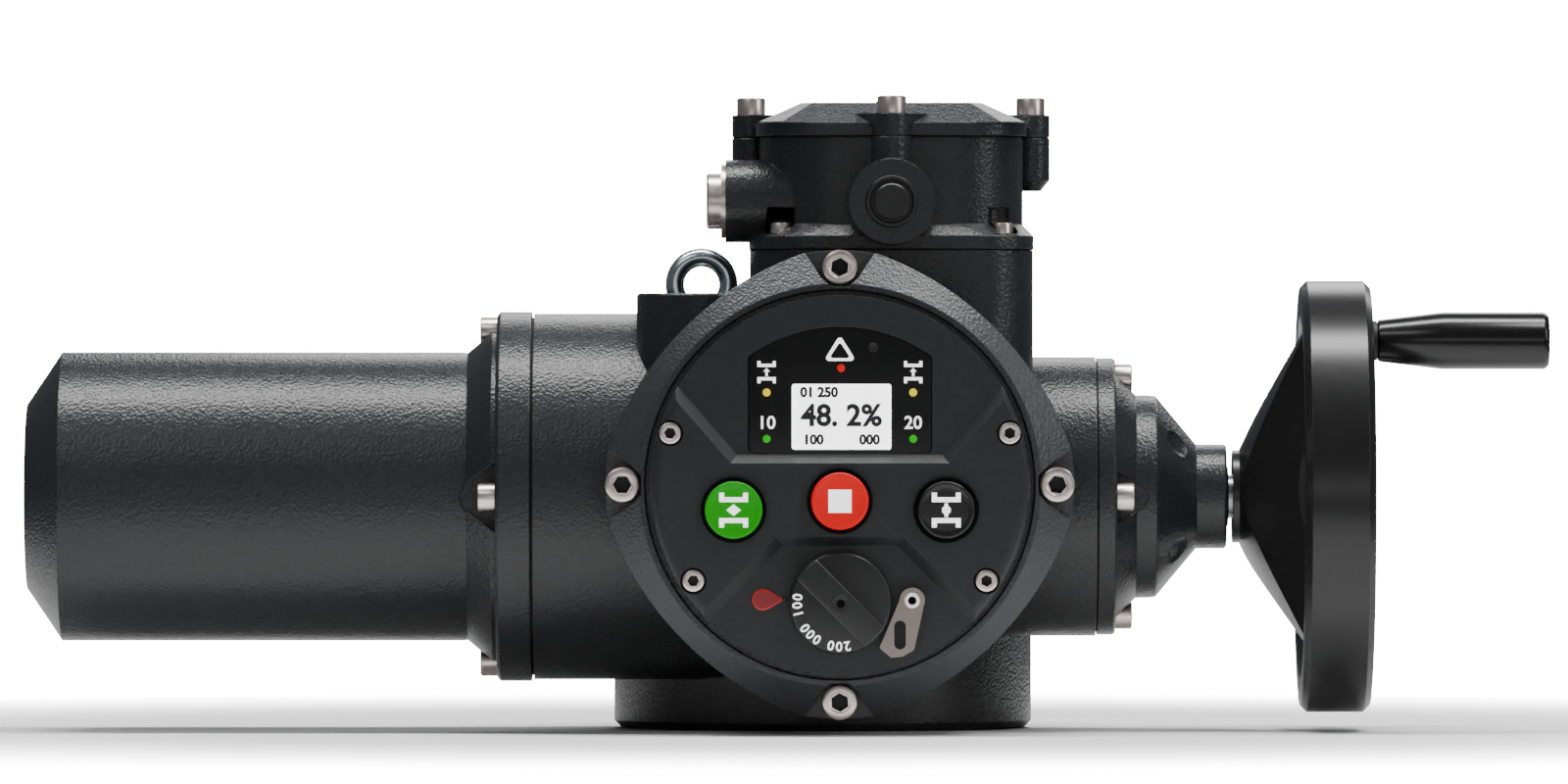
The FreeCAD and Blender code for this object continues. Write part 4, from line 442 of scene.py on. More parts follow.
class Bench:
    """Hand tools: every method works through Blender's own operators."""

    @staticmethod
    def active() -> Piece:
        """The active object."""
        return bpy.context.view_layer.objects.active

    @staticmethod
    def clear() -> None:
        """Leaves edit mode and selects nothing."""
        active = Bench.active()
        if active is not None and active.mode != "OBJECT":
            bpy.ops.object.mode_set(mode="OBJECT")
        bpy.ops.object.select_all(action="DESELECT")

    @staticmethod
    def take(piece: Piece) -> None:
        """Selects one piece alone and makes it active."""
        Bench.clear()
        piece.select_set(True)
        bpy.context.view_layer.objects.active = piece

    @staticmethod
    def settle() -> None:
        """Applies the selected piece's place, turn and size to its mesh."""
        bpy.ops.object.transform_apply(location=True, rotation=True, scale=True)

    @staticmethod
    def edit() -> None:
        """Opens the active piece in edit mode with all of it selected."""
        bpy.ops.object.mode_set(mode="EDIT")
        bpy.ops.mesh.select_all(action="SELECT")

    @staticmethod
    def lift(height: float) -> None:
        """In edit mode: extrudes the selection upwards, by millimetres."""
        bpy.ops.mesh.extrude_region_move(TRANSFORM_OT_translate={"value": (0.0, 0.0, height * MM)})

    @staticmethod
    def named(name: str) -> Piece:
        """Names the active object and its mesh."""
        piece = Bench.active()
        piece.name = name
        piece.data.name = name
        return piece

    @staticmethod
    def lathe(name: str, outline: Sequence[Spot], segments: int = 64, smooth: float = 32.0) -> Piece:
        """Turns a piece along +Z: a circle that is extruded and sized ring by ring.

        Args:
            name: the piece's name.
            outline: (height, radius) rings in millimetres, bottom first.
            segments: corners round the circle.
            smooth: edges flatter than this many degrees are shaded smooth.

        Returns:
            The closed piece, still at the origin.
        """
        Bench.clear()
        height, radius = outline[0]
        bpy.ops.mesh.primitive_circle_add(
            vertices=segments, radius=radius * MM, fill_type="NGON", location=(0, 0, height * MM)
        )
        piece = Bench.named(name)
        Bench.settle()
        Bench.edit()
        for next_height, next_radius in outline[1:]:
            Bench.lift(next_height - height)
            ratio = next_radius / radius
            bpy.ops.transform.resize(value=(ratio, ratio, 1.0), center_override=(0.0, 0.0, next_height * MM))
            height, radius = next_height, next_radius
        Bench.close()
        Bench.shade(piece, smooth)
        return piece

    @staticmethod
    def close() -> None:
        """Merges doubles, turns all faces outwards and leaves edit mode."""
        bpy.ops.mesh.select_all(action="SELECT")
        bpy.ops.mesh.remove_doubles(threshold=SAME_POINT)
        bpy.ops.mesh.normals_make_consistent(inside=False)
        bpy.ops.object.mode_set(mode="OBJECT")

    @staticmethod
    def shade(piece: Piece, angle: float = 32.0) -> None:
        """Smooth shading, with edges kept above an angle in degrees."""
        Bench.take(piece)
        bpy.ops.object.shade_smooth_by_angle(angle=math.radians(angle))

    @staticmethod
    def bevel(piece: Piece, width: float, segments: int = 2, angle: float = 35.0) -> None:
        """Rounds the edges sharper than an angle.

        Args:
            piece: what to round.
            width: the bevel's width in millimetres.
            segments: steps across it.
            angle: the limit in degrees.
        """
        Bench.take(piece)
        rounding = piece.modifiers.new("rounding", "BEVEL")
        rounding.width = width * MM
        rounding.segments = segments
        rounding.limit_method = "ANGLE"
        rounding.angle_limit = math.radians(angle)
        rounding.use_clamp_overlap = True
        bpy.ops.object.modifier_apply(modifier=rounding.name)
        Bench.shade(piece, 40.0)

    @staticmethod
    def cut(piece: Piece, cutter: Piece) -> None:
        """Cuts one piece with another, which is used up."""
        Bench.take(piece)
        hollow = piece.modifiers.new("hollow", "BOOLEAN")
        hollow.operation = "DIFFERENCE"
        hollow.solver = "EXACT"
        hollow.object = cutter
        bpy.ops.object.modifier_apply(modifier=hollow.name)
        bpy.data.objects.remove(cutter)
        Bench.shade(piece)

    @staticmethod
    def place(piece: Piece, at: Place, facing: Facing = Facing.UP, turn: float = 0.0) -> Piece:
        """Stands a piece in its place and settles it in its mesh.

        Args:
            piece: modelled at the origin, along +Z.
            at: where its origin goes, in millimetres.
            facing: where its +Z goes.
            turn: turn about its own +Z first, in radians.

        Returns:
            The same piece.
        """
        Bench.take(piece)
        if turn:
            piece.rotation_euler = (0.0, 0.0, turn)
            Bench.settle()
        piece.rotation_euler = facing.value
        piece.location = Vector(at) * MM
        Bench.settle()
        return piece

    @staticmethod
    def copy(piece: Piece, name: str) -> Piece:
        """A copy with its own mesh."""
        twin = piece.copy()
        twin.data = piece.data.copy()
        twin.name = name
        twin.data.name = name
        bpy.context.scene.collection.objects.link(twin)
        return twin

    @staticmethod
    def joined(pieces: Sequence[Piece], name: str) -> Piece:
        """Joins pieces into one object."""
        Bench.clear()
        for piece in pieces:
            piece.select_set(True)
        bpy.context.view_layer.objects.active = pieces[0]
        if len(pieces) > 1:
            bpy.ops.object.join()
        return Bench.named(name)

    @staticmethod
    def bar(low: Spot, high: Spot, base: float, top: float) -> Piece:
        """A flat bar between two corners in the XY plane, standing from base to top."""
        return Bench.plate([low, (high[0], low[1]), high, (low[0], high[1])], base, top, "bar")

    @staticmethod
    def plate(corners: Sequence[Spot], base: float, top: float, name: str = "plate") -> Piece:
        """A flat plate: a plane trimmed along each side of a convex outline, then raised.

        Args:
            corners: outline corners in millimetres, anticlockwise.
            base: height of its underside.
            top: height of its face.
            name: the piece's name.

        Returns:
            The closed plate.
        """
        Bench.clear()
        reach = max(max(abs(x), abs(y)) for x, y in corners) + 1.0
        bpy.ops.mesh.primitive_plane_add(size=2 * reach * MM, location=(0.0, 0.0, base * MM))
        piece = Bench.named(name)
        Bench.settle()
        Bench.edit()
        for (x, y), (next_x, next_y) in zip(corners, list(corners[1:]) + [corners[0]]):
            bpy.ops.mesh.select_all(action="SELECT")
            bpy.ops.mesh.bisect(
                plane_co=(x * MM, y * MM, 0.0),
                plane_no=Vector((next_y - y, x - next_x, 0.0)).normalized(),
                clear_outer=True,
                threshold=ON_PLANE,
            )
        bpy.ops.mesh.select_all(action="SELECT")
        Bench.lift(top - base)
        Bench.close()
        return piece

    @staticmethod
    def ring(name: str, major: float, minor: float) -> Piece:
        """A round ring about the Y axis: a circle that is spun a full turn.

        Args:
            name: the piece's name.
            major: radius of its centre line in millimetres.
            minor: radius of its section.

        Returns:
            The closed ring, at the origin.
        """
        Bench.clear()
        bpy.ops.mesh.primitive_circle_add(vertices=28, radius=minor * MM, location=(major * MM, 0.0, 0.0))
        piece = Bench.named(name)
        Bench.settle()
        Bench.edit()
        bpy.ops.mesh.spin(steps=72, angle=math.tau, center=(0.0, 0.0, 0.0), axis=(0.0, 1.0, 0.0))
        Bench.close()
        Bench.shade(piece, 50.0)
        return piece

    @staticmethod
    def numeral(text: str, height: float, at: Spot, base: float, rise: float, weight: float = 0.022) -> Piece:
        """Generic figures as a mesh in the XY plane.

        Args:
            text: the figures.
            height: their height in millimetres.
            at: their centre.
            base: height of their underside.
            rise: how far they stand out.
            weight: how much the strokes are widened, as a share of the height.

        Returns:
            The mesh.
        """
        Bench.clear()
        bpy.ops.object.text_add(location=(0.0, 0.0, 0.0))
        piece = Bench.active()
        piece.data.body = text
        piece.data.size = height * MM / CAP_SHARE
        piece.data.align_x = "CENTER"
        piece.data.align_y = "CENTER"
        piece.data.extrude = rise * MM / 2
        piece.data.offset = height * weight * MM
        piece.data.resolution_u = 4
        bpy.ops.object.convert(target="MESH")
        return Bench.place(Bench.active(), (at[0], at[1], base + rise / 2))


@dataclass
class SubAssembly:
    """A group of pieces that ride on one body."""

    body: str = "casing"

    def show(
        self, piece: Piece, finish: Finish, replaced: Sequence[str] = (), body: str | None = None
    ) -> Piece:
        """Dresses a new piece, mounts it on its body and reports it.

        Args:
            piece: the finished mesh.
            finish: its finish, used where the mesh has none yet.
            replaced: CAD nodes it stands for.
            body: the body it rides on, if not the group's own.

        Returns:
            The same piece.
        """
        if not piece.data.materials:
            piece.data.materials.append(Palette.material(finish))
        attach(piece, body or self.body)
        if replaced:
            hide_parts(*replaced)
        log.info("%s: %d faces, %s", piece.name, len(piece.data.polygons), finish.name)
        return piece

    def dress(self, nodes: dict[str, Piece], finish: Finish, *names: str) -> None:
        """Gives CAD nodes a finish."""
        for name in names:
            node = nodes[name]
            node.data.materials.clear()
            node.data.materials.append(Palette.material(finish))
            log.info("%s: carried over, %s", name, finish.name)


@dataclass
class CapScrew:
    """A socket cap screw, modelled once for each size."""

    head_radius: float
    head_height: float
    shank_radius: float
    shank: float = 5.0

    def model(self, name: str) -> Piece:
        """The screw along +Z, with its head standing on z = 0."""
        radius, height = self.head_radius, self.head_height
        edge = height * 0.12
        screw = Bench.lathe(name, [
            (-self.shank, self.shank_radius * 0.85),
            (-self.shank + 0.6, self.shank_radius),
            (-0.01, self.shank_radius),
            (0.0, radius - 0.25),
            (0.25, radius),
            (height - edge, radius),
            (height - edge * 0.35, radius - edge * 0.3),
            (height, radius - edge),
            (height, radius * 0.62),
            (height - 0.25, radius * 0.57),
        ], 48)
        Bench.clear()
        deep = height * 0.55
        bpy.ops.mesh.primitive_cylinder_add(
            vertices=6, radius=radius * 0.53 * MM, depth=2 * deep * MM, location=(0.0, 0.0, height * MM)
        )
        Bench.cut(screw, Bench.active())
        # Faces down in the hex socket get the near-black finish: painted shade in the socket.
        for finish in (Palette.SCREW, Palette.SOCKET):
            screw.data.materials.append(Palette.material(finish))
        for face in screw.data.polygons:
            inside = math.hypot(face.center.x, face.center.y) < radius * 0.5 * MM
            if inside and (height - deep - 0.1) * MM < face.center.z < (height - 0.3) * MM:
                face.material_index = 1
        return screw


@dataclass(frozen=True)
class ScrewRow:
    """Four screws on a circle, which stand for one CAD node."""

    node: str
    size: str
    facing: Facing
    seat: float
    circle: float
    centre: Spot
    start: float = 0.0

    def places(self) -> list[Place]:
        """The seats of the four heads."""
        axis = {Facing.FRONT: 1, Facing.UP: 2}.get(self.facing, 0)
        spots = four_round(self.centre, self.circle, self.start)
        return [(*spot[:axis], self.seat, *spot[axis:]) for spot in spots]


@dataclass
class Fasteners(SubAssembly):
    """The stainless screws that hold the covers, the panel and the lid."""

    rows: tuple[ScrewRow, ...] = (
        ScrewRow("motor_cover_bolts", "m8", Facing.LEFT, -149.4, 75.9, DRIVE_CENTRE),
        ScrewRow("handwheel_cover_bolts", "m8", Facing.RIGHT, 133.9, 54.3, DRIVE_CENTRE),
        ScrewRow("control_cover_bolts", "m10", Facing.FRONT, -172.5, 98.5, PANEL_CENTRE),
        ScrewRow("terminal_lid_bolts", "m8", Facing.UP, 281.7, LID_BOLT_CIRCLE, COLUMN_CENTRE),
        ScrewRow("terminal_housing_bolts", "m6", Facing.UP, 226.1, 50.3 * math.sqrt(2), COLUMN_CENTRE, 45.0),
    )
    panel_holes: tuple[Spot, Spot] = ((76.7, 23.4), (66.2, -43.3))
    panel_seat: float = -194.0
    first_turn: float = 0.35
    turn_step: float = 0.6
    washer_back: float = 206.0
    washer_front: float = 208.0

    def row(self, screw: Piece, name: str, places: Sequence[Place], facing: Facing) -> None:
        """Copies a screw to its places, each turned a little, and joins them.

        Args:
            screw: the model.
            name: the CAD node that the row stands for.
            places: seats of the heads.
            facing: where the heads point.
        """
        copies = []
        for step, at in enumerate(places):
            twin = Bench.copy(screw, f"{name}_{step}")
            copies.append(Bench.place(twin, at, facing, self.first_turn + self.turn_step * step))
        self.show(Bench.joined(copies, f"{name}_shown"), Palette.SCREW, (name,))

    def build(self) -> None:
        """Makes all the rows."""
        screws = {
            "m6": CapScrew(5.0, 6.0, 3.0).model("m6_screw"),
            "m8": CapScrew(6.5, 8.0, 4.0).model("m8_screw"),
            "m10": CapScrew(8.0, 10.0, 5.0).model("m10_screw"),
        }
        for row in self.rows:
            self.row(screws[row.size], row.node, row.places(), row.facing)
        x0, z0 = PANEL_CENTRE
        corners = [(x0 + s * x, self.panel_seat, z0 + z) for x, z in self.panel_holes for s in (-1, 1)]
        self.row(screws["m6"], "panel_screws", corners, Facing.FRONT)
        for screw in screws.values():
            bpy.data.objects.remove(screw)
        self.wheel_end()

    def wheel_end(self) -> None:
        """Makes the screw and the washer that hold the handwheel on its shaft."""
        end = CapScrew(8.0, 6.0, 4.0).model("wheel_end_screw")
        washer = Bench.lathe("wheel_washer", [
            (0.0, 12.6), (0.4, 13.0), (1.6, 13.0), (2.0, 12.6), (2.0, 6.0), (1.7, 5.0),
        ], 48)
        Bench.place(end, (self.washer_front, *DRIVE_CENTRE), Facing.RIGHT)
        Bench.place(washer, (self.washer_back, *DRIVE_CENTRE), Facing.RIGHT)
        both = Bench.joined([end, washer], "handwheel_screw_shown")
        self.show(both, Palette.SCREW, ("handwheel_screw",), "handwheel_unit")


@dataclass(frozen=True)
class Mark:
    """What stands between the two brackets of a valve sign, in millimetres."""

    outline: tuple[Spot, ...]
    stems: tuple[Spot, ...] = ()


class Symbol(Enum):
    """The marks of the valve signs."""

    OPEN = Mark(((3.4, 0), (0, 2.7), (-3.4, 0), (0, -2.7)))
    CLOSED = Mark(((2.0, -0.9), (2.0, 0.9), (0.9, 1.9), (-0.9, 1.9),
                   (-2.0, 0.9), (-2.0, -0.9), (-0.9, -1.9), (0.9, -1.9)), ((-3.1, -1.9), (1.9, 3.1)))
    MOVING = Mark(((2.4, 0.4), (0, 3.0), (-2.4, 0.4)), ((-3.0, 0.4),))


@dataclass(frozen=True)
class ValveSign:
    """A valve sign: two brackets with a mark between them."""

    scale: float
    base: float
    rise: float
    beam: Spot = (3.7, 6.0)
    tab_rows: Spot = (5.9, 8.1)
    tab_columns: Spot = (4.4, 6.7)
    half_stem: float = 0.85

    def bar(self, columns: Spot, rows: Spot) -> Piece:
        """A bar between two columns and two rows, given at a scale of 1."""
        (left, right), (bottom, top) = sorted(columns), sorted(rows)
        low = (left * self.scale, bottom * self.scale)
        high = (right * self.scale, top * self.scale)
        return Bench.bar(low, high, self.base, self.base + self.rise)

    def build(self, symbol: Symbol) -> Piece:
        """Makes the sign as one joined mesh.

        Args:
            symbol: the mark between the brackets.

        Returns:
            The sign, in the XY plane.
        """
        half = self.tab_columns[1]
        bars = []
        for sign in (-1, 1):
            bars.append(self.bar((-half, half), (sign * self.beam[0], sign * self.beam[1])))
            rows = (sign * self.tab_rows[0], sign * self.tab_rows[1])
            for side in (-1, 1):
                bars.append(self.bar((side * self.tab_columns[0], side * half), rows))
        for rows in symbol.value.stems:
            bars.append(self.bar((-self.half_stem, self.half_stem), rows))
        outline = [(x * self.scale, y * self.scale) for x, y in symbol.value.outline]
        bars.append(Bench.plate(outline, self.base, self.base + self.rise))
        return Bench.joined(bars, "valve_sign")


@dataclass
class PanelGroup(SubAssembly):
    """Pieces that are drawn on a plane and then stood on the operator panel."""

    @staticmethod
    def on_panel(piece: Piece, at: Spot, y: float) -> Piece:
        """Stands a piece on the panel, at a place from the panel's centre."""
        return Bench.place(piece, (PANEL_CENTRE[0] + at[0], y, PANEL_CENTRE[1] + at[1]), Facing.FRONT)

    def stand(
        self, piece: Piece, at: Spot, y: float, finish: Finish, replaced: Sequence[str] = (),
        body: str | None = None,
    ) -> None:
        """Stands a piece on the panel and dresses it.

        Args:
            piece: drawn in the XY plane.
            at: its place from the panel's centre.
            y: where its origin goes in depth.
            finish: its finish.
            replaced: CAD nodes it stands for.
            body: the body it rides on, if not the group's own.
        """
        self.show(self.on_panel(piece, at, y), finish, replaced, body)


@dataclass
class PushButtons(PanelGroup):
    """Three caps, each with its sign, in their rings."""

    radius: float = 13.0
    height: float = 3.4
    skirt: float = 3.6
    face: float = -200.0
    sign_seat: float = 0.62
    sign_rise: float = 0.22
    half_square: float = 5.2
    sign_scale: float = 0.97

    def cap(self, name: str) -> Piece:
        """One cap along +Z, from its skirt in the pocket to its dished face."""
        radius, height = self.radius, self.height
        return Bench.lathe(name, [
            (-self.skirt, radius - 0.2), (0.2 - self.skirt, radius), (height - 0.9, radius),
            (height - 0.45, radius - 0.13), (height - 0.12, radius - 0.45), (height, radius - 0.9),
            (height - 0.05, radius - 1.5), (height - 0.3, radius - 2.2), (height - 0.5, radius - 3.2),
            (height - 0.6, radius - 5.0), (height - 0.6, radius - 9.0),
        ], 96, 60.0)

    def build(self) -> None:
        """Makes the caps and their signs."""
        floor, half = self.height - self.sign_seat, self.half_square
        rows = (
            ("open", (-48.0, -11.3), Palette.GREEN, Symbol.OPEN),
            ("stop", (0.0, -7.3), Palette.RED, None),
            ("close", (48.0, -11.3), Palette.BLACK, Symbol.CLOSED),
        )
        for name, at, finish, symbol in rows:
            body = f"{name}_push"
            self.stand(self.cap(f"{name}_cap"), at, self.face, finish, (f"{name}_button",), body)
            if symbol is None:
                sign = Bench.bar((-half, -half), (half, half), floor, floor + self.sign_rise)
            else:
                sign = ValveSign(self.sign_scale, floor, self.sign_rise).build(symbol)
            self.stand(Bench.joined([sign], f"{name}_sign"), at, self.face, Palette.WHITE, (), body)


@dataclass
class DisplayUnit(PanelGroup):
    """The window with its screen, lamps, signs and figures."""

    glass_face: float = -196.0
    glass_half: float = 41.4
    glass_bottom: float = 14.5
    glass_arc: float = 71.2
    glass_depth: float = 2.9
    screen_low: Spot = (-21.7, 16.0)
    screen_high: Spot = (23.2, 45.6)
    screen_corner: float = 1.2
    side_column: float = 33.1
    triangle_middle: float = 60.0

    def window(self) -> Piece:
        """The black window: flat sides, a curved top and softly rounded corners."""
        half, bottom, reach = self.glass_half, self.glass_bottom, self.glass_arc
        side_top = math.sqrt(reach ** 2 - half ** 2)
        start = math.atan2(side_top, half)
        curve = arc(reach, start, math.pi - start, 24)
        far, near, drop = 2.4, 0.7, 2.0
        right = [(half - far, bottom), (half - near, bottom + near), (half, bottom + far)]
        right.append((half, side_top - drop))
        corners = right + curve[1:-1] + [(-x, y) for x, y in reversed(right)]
        glass = Bench.plate(corners, -self.glass_depth, 0.0, "display_glass")
        Bench.bevel(glass, 0.35, 2, 60.0)
        return glass

    def screen(self) -> Piece:
        """The white screen with rounded corners."""
        screen = Bench.bar(self.screen_low, self.screen_high, 0.02, 0.12)
        Bench.take(screen)
        bpy.ops.object.mode_set(mode="EDIT")
        bpy.ops.mesh.select_all(action="DESELECT")
        bpy.ops.object.mode_set(mode="OBJECT")
        for edge in screen.data.edges:
            a, b = (screen.data.vertices[i].co for i in edge.vertices)
            edge.select = abs(a.z - b.z) > 0.00001
        bpy.ops.object.mode_set(mode="EDIT")
        bpy.ops.mesh.select_mode(type="EDGE")
        bpy.ops.mesh.bevel(offset=self.screen_corner * MM, segments=5, affect="EDGES")
        bpy.ops.mesh.select_mode(type="VERT")
        Bench.close()
        return Bench.joined([screen], "screen")

    def readings(self) -> Piece:
        """Three rows of figures in dark ink on the screen."""
        base, rise = 0.12, 0.05
        inks = [
            Bench.numeral("48. 2%", 9.8, (0.75, 31.0), base, rise, 0.045),
            Bench.numeral("01 250", 4.4, (-9.4, 41.7), base, rise, 0.07),
            Bench.numeral("100", 4.4, (-12.0, 20.3), base, rise, 0.07),
            Bench.numeral("000", 4.4, (13.4, 20.3), base, rise, 0.07),
        ]
        return Bench.joined(inks, "screen_figures")

    def signs(self) -> Piece:
        """White signs round the screen."""
        base, rise = 0.02, 0.08
        marks = []
        for side in (-1, 1):
            sign = ValveSign(0.62, base, rise).build(Symbol.MOVING)
            marks.append(Bench.place(sign, (side * self.side_column, 51.0, 0.0)))
            figure = "10" if side < 0 else "20"
            marks.append(Bench.numeral(figure, 5.9, (side * self.side_column, 27.9), base, rise, 0.02))
        marks.append(self.triangle(base, base + rise))
        return Bench.joined(marks, "window_signs")

    def triangle(self, base: float, top: float) -> Piece:
        """A plain triangle outline: a plate with rounded corners and its middle cut out."""
        rounding, wide, high, row = 1.4, 5.6, 5.2, self.triangle_middle
        outline = []
        for corner in range(3):
            middle = math.radians(-30 + 120 * corner)
            for x, y in arc(rounding, middle - math.radians(60), middle + math.radians(60), 6):
                outline.append((wide * math.cos(middle) + x, row + high * math.sin(middle) + y))
        plate = Bench.plate(outline, base, top, "triangle")
        hole = [(x * 0.66, row - 0.2 + (y - row) * 0.62) for x, y in outline]
        inner = Bench.plate(hole, base - 1, top + 1, "inner")
        Bench.cut(plate, inner)
        return plate

    def build(self) -> None:
        """Makes the window and all that shows in it."""
        face, side = self.glass_face, self.side_column
        self.stand(self.window(), (0, 0), face, Palette.WINDOW, ("display_window",))
        self.stand(self.screen(), (0, 0), face, Palette.SCREEN)
        self.stand(self.readings(), (0, 0), face, Palette.INK)
        self.stand(self.signs(), (0, 0), face, Palette.WHITE)
        lamps = (
            ("lamps_yellow", Palette.LAMP_YELLOW, [(-side, 41.8), (side, 41.8)], ()),
            ("lamps_green", Palette.LAMP_GREEN, [(-side, 20.8), (side, 20.8)], ("status_lamps",)),
            ("lamp_red", Palette.LAMP_RED, [(0.5, 52.8)], ()),
        )
        for name, finish, places, replaced in lamps:
            domes = []
            for at in places:
                dome = Bench.lathe("dome", [
                    (-0.3, 1.8), (0.02, 1.8), (0.12, 1.72), (0.24, 1.4), (0.3, 0.8), (0.32, 0.2),
                ], 32, 70)
                domes.append(self.on_panel(dome, at, face))
            self.show(Bench.joined(domes, name), finish, replaced)
        eye = Bench.lathe("light_sensor", [(-0.2, 2.2), (0.05, 2.2), (0.06, 2.0), (0.02, 1.9)], 40)
        self.stand(eye, (15.0, 62.1), face, Palette.MOULDED)


@dataclass
class Selector(PanelGroup):
    """The mode knob with its cap and figures, the pointer and the hasp's rivet."""

    knob_at: Spot = (0.3, -53.3)
    disc_face: float = -203.0
    bar_height: float = 14.6
    bar_half: Spot = (6.35, 22.0)
    figure_circle: float = 19.4
    figure_height: float = 4.4
    figure_pitch: float = 11.0
    pointer_at: Spot = (-34.8, -51.8)
    pointer_seat: float = -196.0
    hasp_at: Spot = (32.6, -52.1)
    hasp_face: float = -202.5

    def build(self) -> None:
        """Makes the knob, its dial figures and cap, the pointer and the hasp's rivet."""
        disc = Bench.lathe("knob_disc", [
            (-6.7, 22.6), (-6.3, 23.0), (-1.5, 23.0), (-0.75, 22.8), (-0.2, 22.25), (0.0, 21.5),
        ], 96, 50.0)
        across, along = self.bar_half
        grip = Bench.bar((-across, -along), (across, along), -0.5, self.bar_height)
        Bench.bevel(grip, 1.1, 4)
        Bench.place(grip, (0.0, 0.0, 0.0), Facing.UP, QUARTER_TURN / 2)
        knob = Bench.joined([disc, grip], "knob_shown")
        self.stand(knob, self.knob_at, self.disc_face, Palette.MOULDED, ("selector_knob",), "knob")
        self.stand(self.dial(), self.knob_at, self.disc_face, Palette.WHITE, (), "knob")
        cap = Bench.lathe("knob_cap", [
            (-0.2, 4.4), (0.15, 4.4), (0.3, 4.2), (0.3, 3.7), (0.15, 3.5), (0.15, 1.9), (0.05, 1.7),
        ], 48)
        self.two_tone(cap, Palette.MOULDED, Palette.RING, 1.8)
        self.stand(cap, self.knob_at, self.disc_face - self.bar_height, Palette.MOULDED, (), "knob")
        self.pointer()
        self.rivet()

    def dial(self) -> Piece:
        """Three groups of figures round the knob's disc."""
        figures = []
        for text, angle in (("100", 183.0), ("000", 226.0), ("200", 268.0)):
            for step, sign in enumerate(text):
                turn = math.radians(angle + self.figure_pitch * (1 - step))
                figure = Bench.numeral(sign, self.figure_height, (0.0, 0.0), 0.0, 0.12)
                at = (self.figure_circle * math.cos(turn), self.figure_circle * math.sin(turn), 0.0)
                figures.append(Bench.place(figure, at, Facing.UP, turn - QUARTER_TURN))
        return Bench.joined(figures, "dial_figures")

    @staticmethod
    def two_tone(piece: Piece, outer: Finish, inner: Finish, radius: float) -> None:
        """Gives a turned piece a second finish within a radius of its axis.

        Args:
            piece: modelled at the origin, along +Z.
            outer: the finish of the rest.
            inner: the finish of the middle.
            radius: the border, in millimetres.
        """
        for finish in (outer, inner):
            piece.data.materials.append(Palette.material(finish))
        for face in piece.data.polygons:
            if math.hypot(face.center.x, face.center.y) < radius * MM and face.center.z > -0.15 * MM:
                face.material_index = 1

    def pointer(self) -> None:
        """The drop-shaped red pointer with its lighter rim."""
        radius, tip = 4.9, 9.8
        spread = math.acos(radius / tip)
        drop = [(tip, 0.0)] + arc(radius, spread, math.tau - spread, 30)
        rim = Bench.plate(drop, -0.02, 0.7, "pointer_rim")
        face = Bench.plate([(x * 0.86, y * 0.84) for x, y in drop], 0.6, 1.0, "pointer_face")
        Bench.bevel(rim, 0.2, 2, 60.0)
        at, seat = self.pointer_at, self.pointer_seat
        self.stand(rim, at, seat, Palette.POINTER_RIM, ("mode_pointer",))
        self.stand(face, at, seat, Palette.POINTER)
        dot = Bench.lathe("pointer_tip", [(-0.1, 1.1), (0.8, 1.1), (1.1, 0.9), (1.2, 0.5)], 24, 60)
        self.stand(dot, (at[0] + tip, at[1]), seat, Palette.MOULDED)

    def rivet(self) -> None:
        """The head of the hasp's rivet, bright with a painted glow, with painted shade in its hollow."""
        head = Bench.lathe("rivet_head", [
            (-0.3, 3.3), (0.0, 3.5), (1.0, 3.5), (1.3, 3.2), (1.4, 2.9), (1.4, 1.9), (1.2, 1.7), (0.2, 1.6),
        ], 40, 50)
        # The hollow gets the near-black finish: painted shade.
        self.two_tone(head, Palette.RIVET, Palette.RING, 1.8)
        self.stand(head, self.hasp_at, self.hasp_face, Palette.RIVET, ("hasp_rivet",))


@dataclass
class CrankGrip(SubAssembly):
    """The turned grip on the handwheel."""

    body: str = "grip"
    axis: Spot = (-117.9, 178.4)
    start: float = 253.0

    def build(self) -> None:
        """Turns the grip: a straight taper, a round body and a rounded end."""
        rings = [(0.0, 8.8), (0.5, 9.3), (1.0, 9.6), (27.5, 12.8), (29.5, 12.97), (31.5, 13.0), (75.3, 13.0),
                 (76.5, 12.75), (77.5, 12.0), (78.1, 11.0), (78.3, 9.9), (78.3, 0.6)]
        grip = Bench.lathe("grip_turned", rings, 72, 50.0)
        self.show(Bench.place(grip, (self.start, *self.axis), Facing.RIGHT), Palette.GRIP, ("crank_grip",))


@dataclass
class LiftingEye(SubAssembly):
    """The eyebolt: a thick ring on a collar and shank."""

    at: Place = (-55.7, -92.5, 186.0)
    rise: float = 18.3
    ring_radius: float = 12.3
    section_radius: float = 4.2

    def build(self) -> None:
        """Spins the ring, turns the collar and joins them."""
        ring = Bench.ring("eye_ring", self.ring_radius, self.section_radius)
        Bench.place(ring, (self.at[0], self.at[1], self.at[2] + self.rise))
        foot = Bench.lathe("eye_foot", [
            (-13.0, 3.4), (-12.4, 4.0), (-0.01, 4.0), (0.0, 9.7), (0.3, 10.0), (3.6, 10.0), (4.2, 9.6),
            (5.0, 6.6), (6.2, 5.2),
        ], 56)
        Bench.place(foot, self.at)
        self.show(Bench.joined([ring, foot], "eyebolt_shown"), Palette.ZINC, ("eyebolt",))


@dataclass
class LidSeal(SubAssembly):
    """Tabs of the lid's seal, which show under the lid's lugs."""

    tab: float = 8.2
    bottom: float = 271.05
    top: float = 271.75
    chamfer: float = 0.1

    def build(self) -> None:
        """Makes a tab for each lug."""
        small = self.tab - self.chamfer
        rings = [(self.bottom, small), (271.2, self.tab), (271.6, self.tab), (self.top, small)]
        tabs = []
        for x, y in four_round(COLUMN_CENTRE, LID_BOLT_CIRCLE):
            tabs.append(Bench.place(Bench.lathe("tab", rings, 40), (x, y, 0.0)))
        self.show(Bench.joined(tabs, "lid_seal_tabs"), Palette.RUBBER)


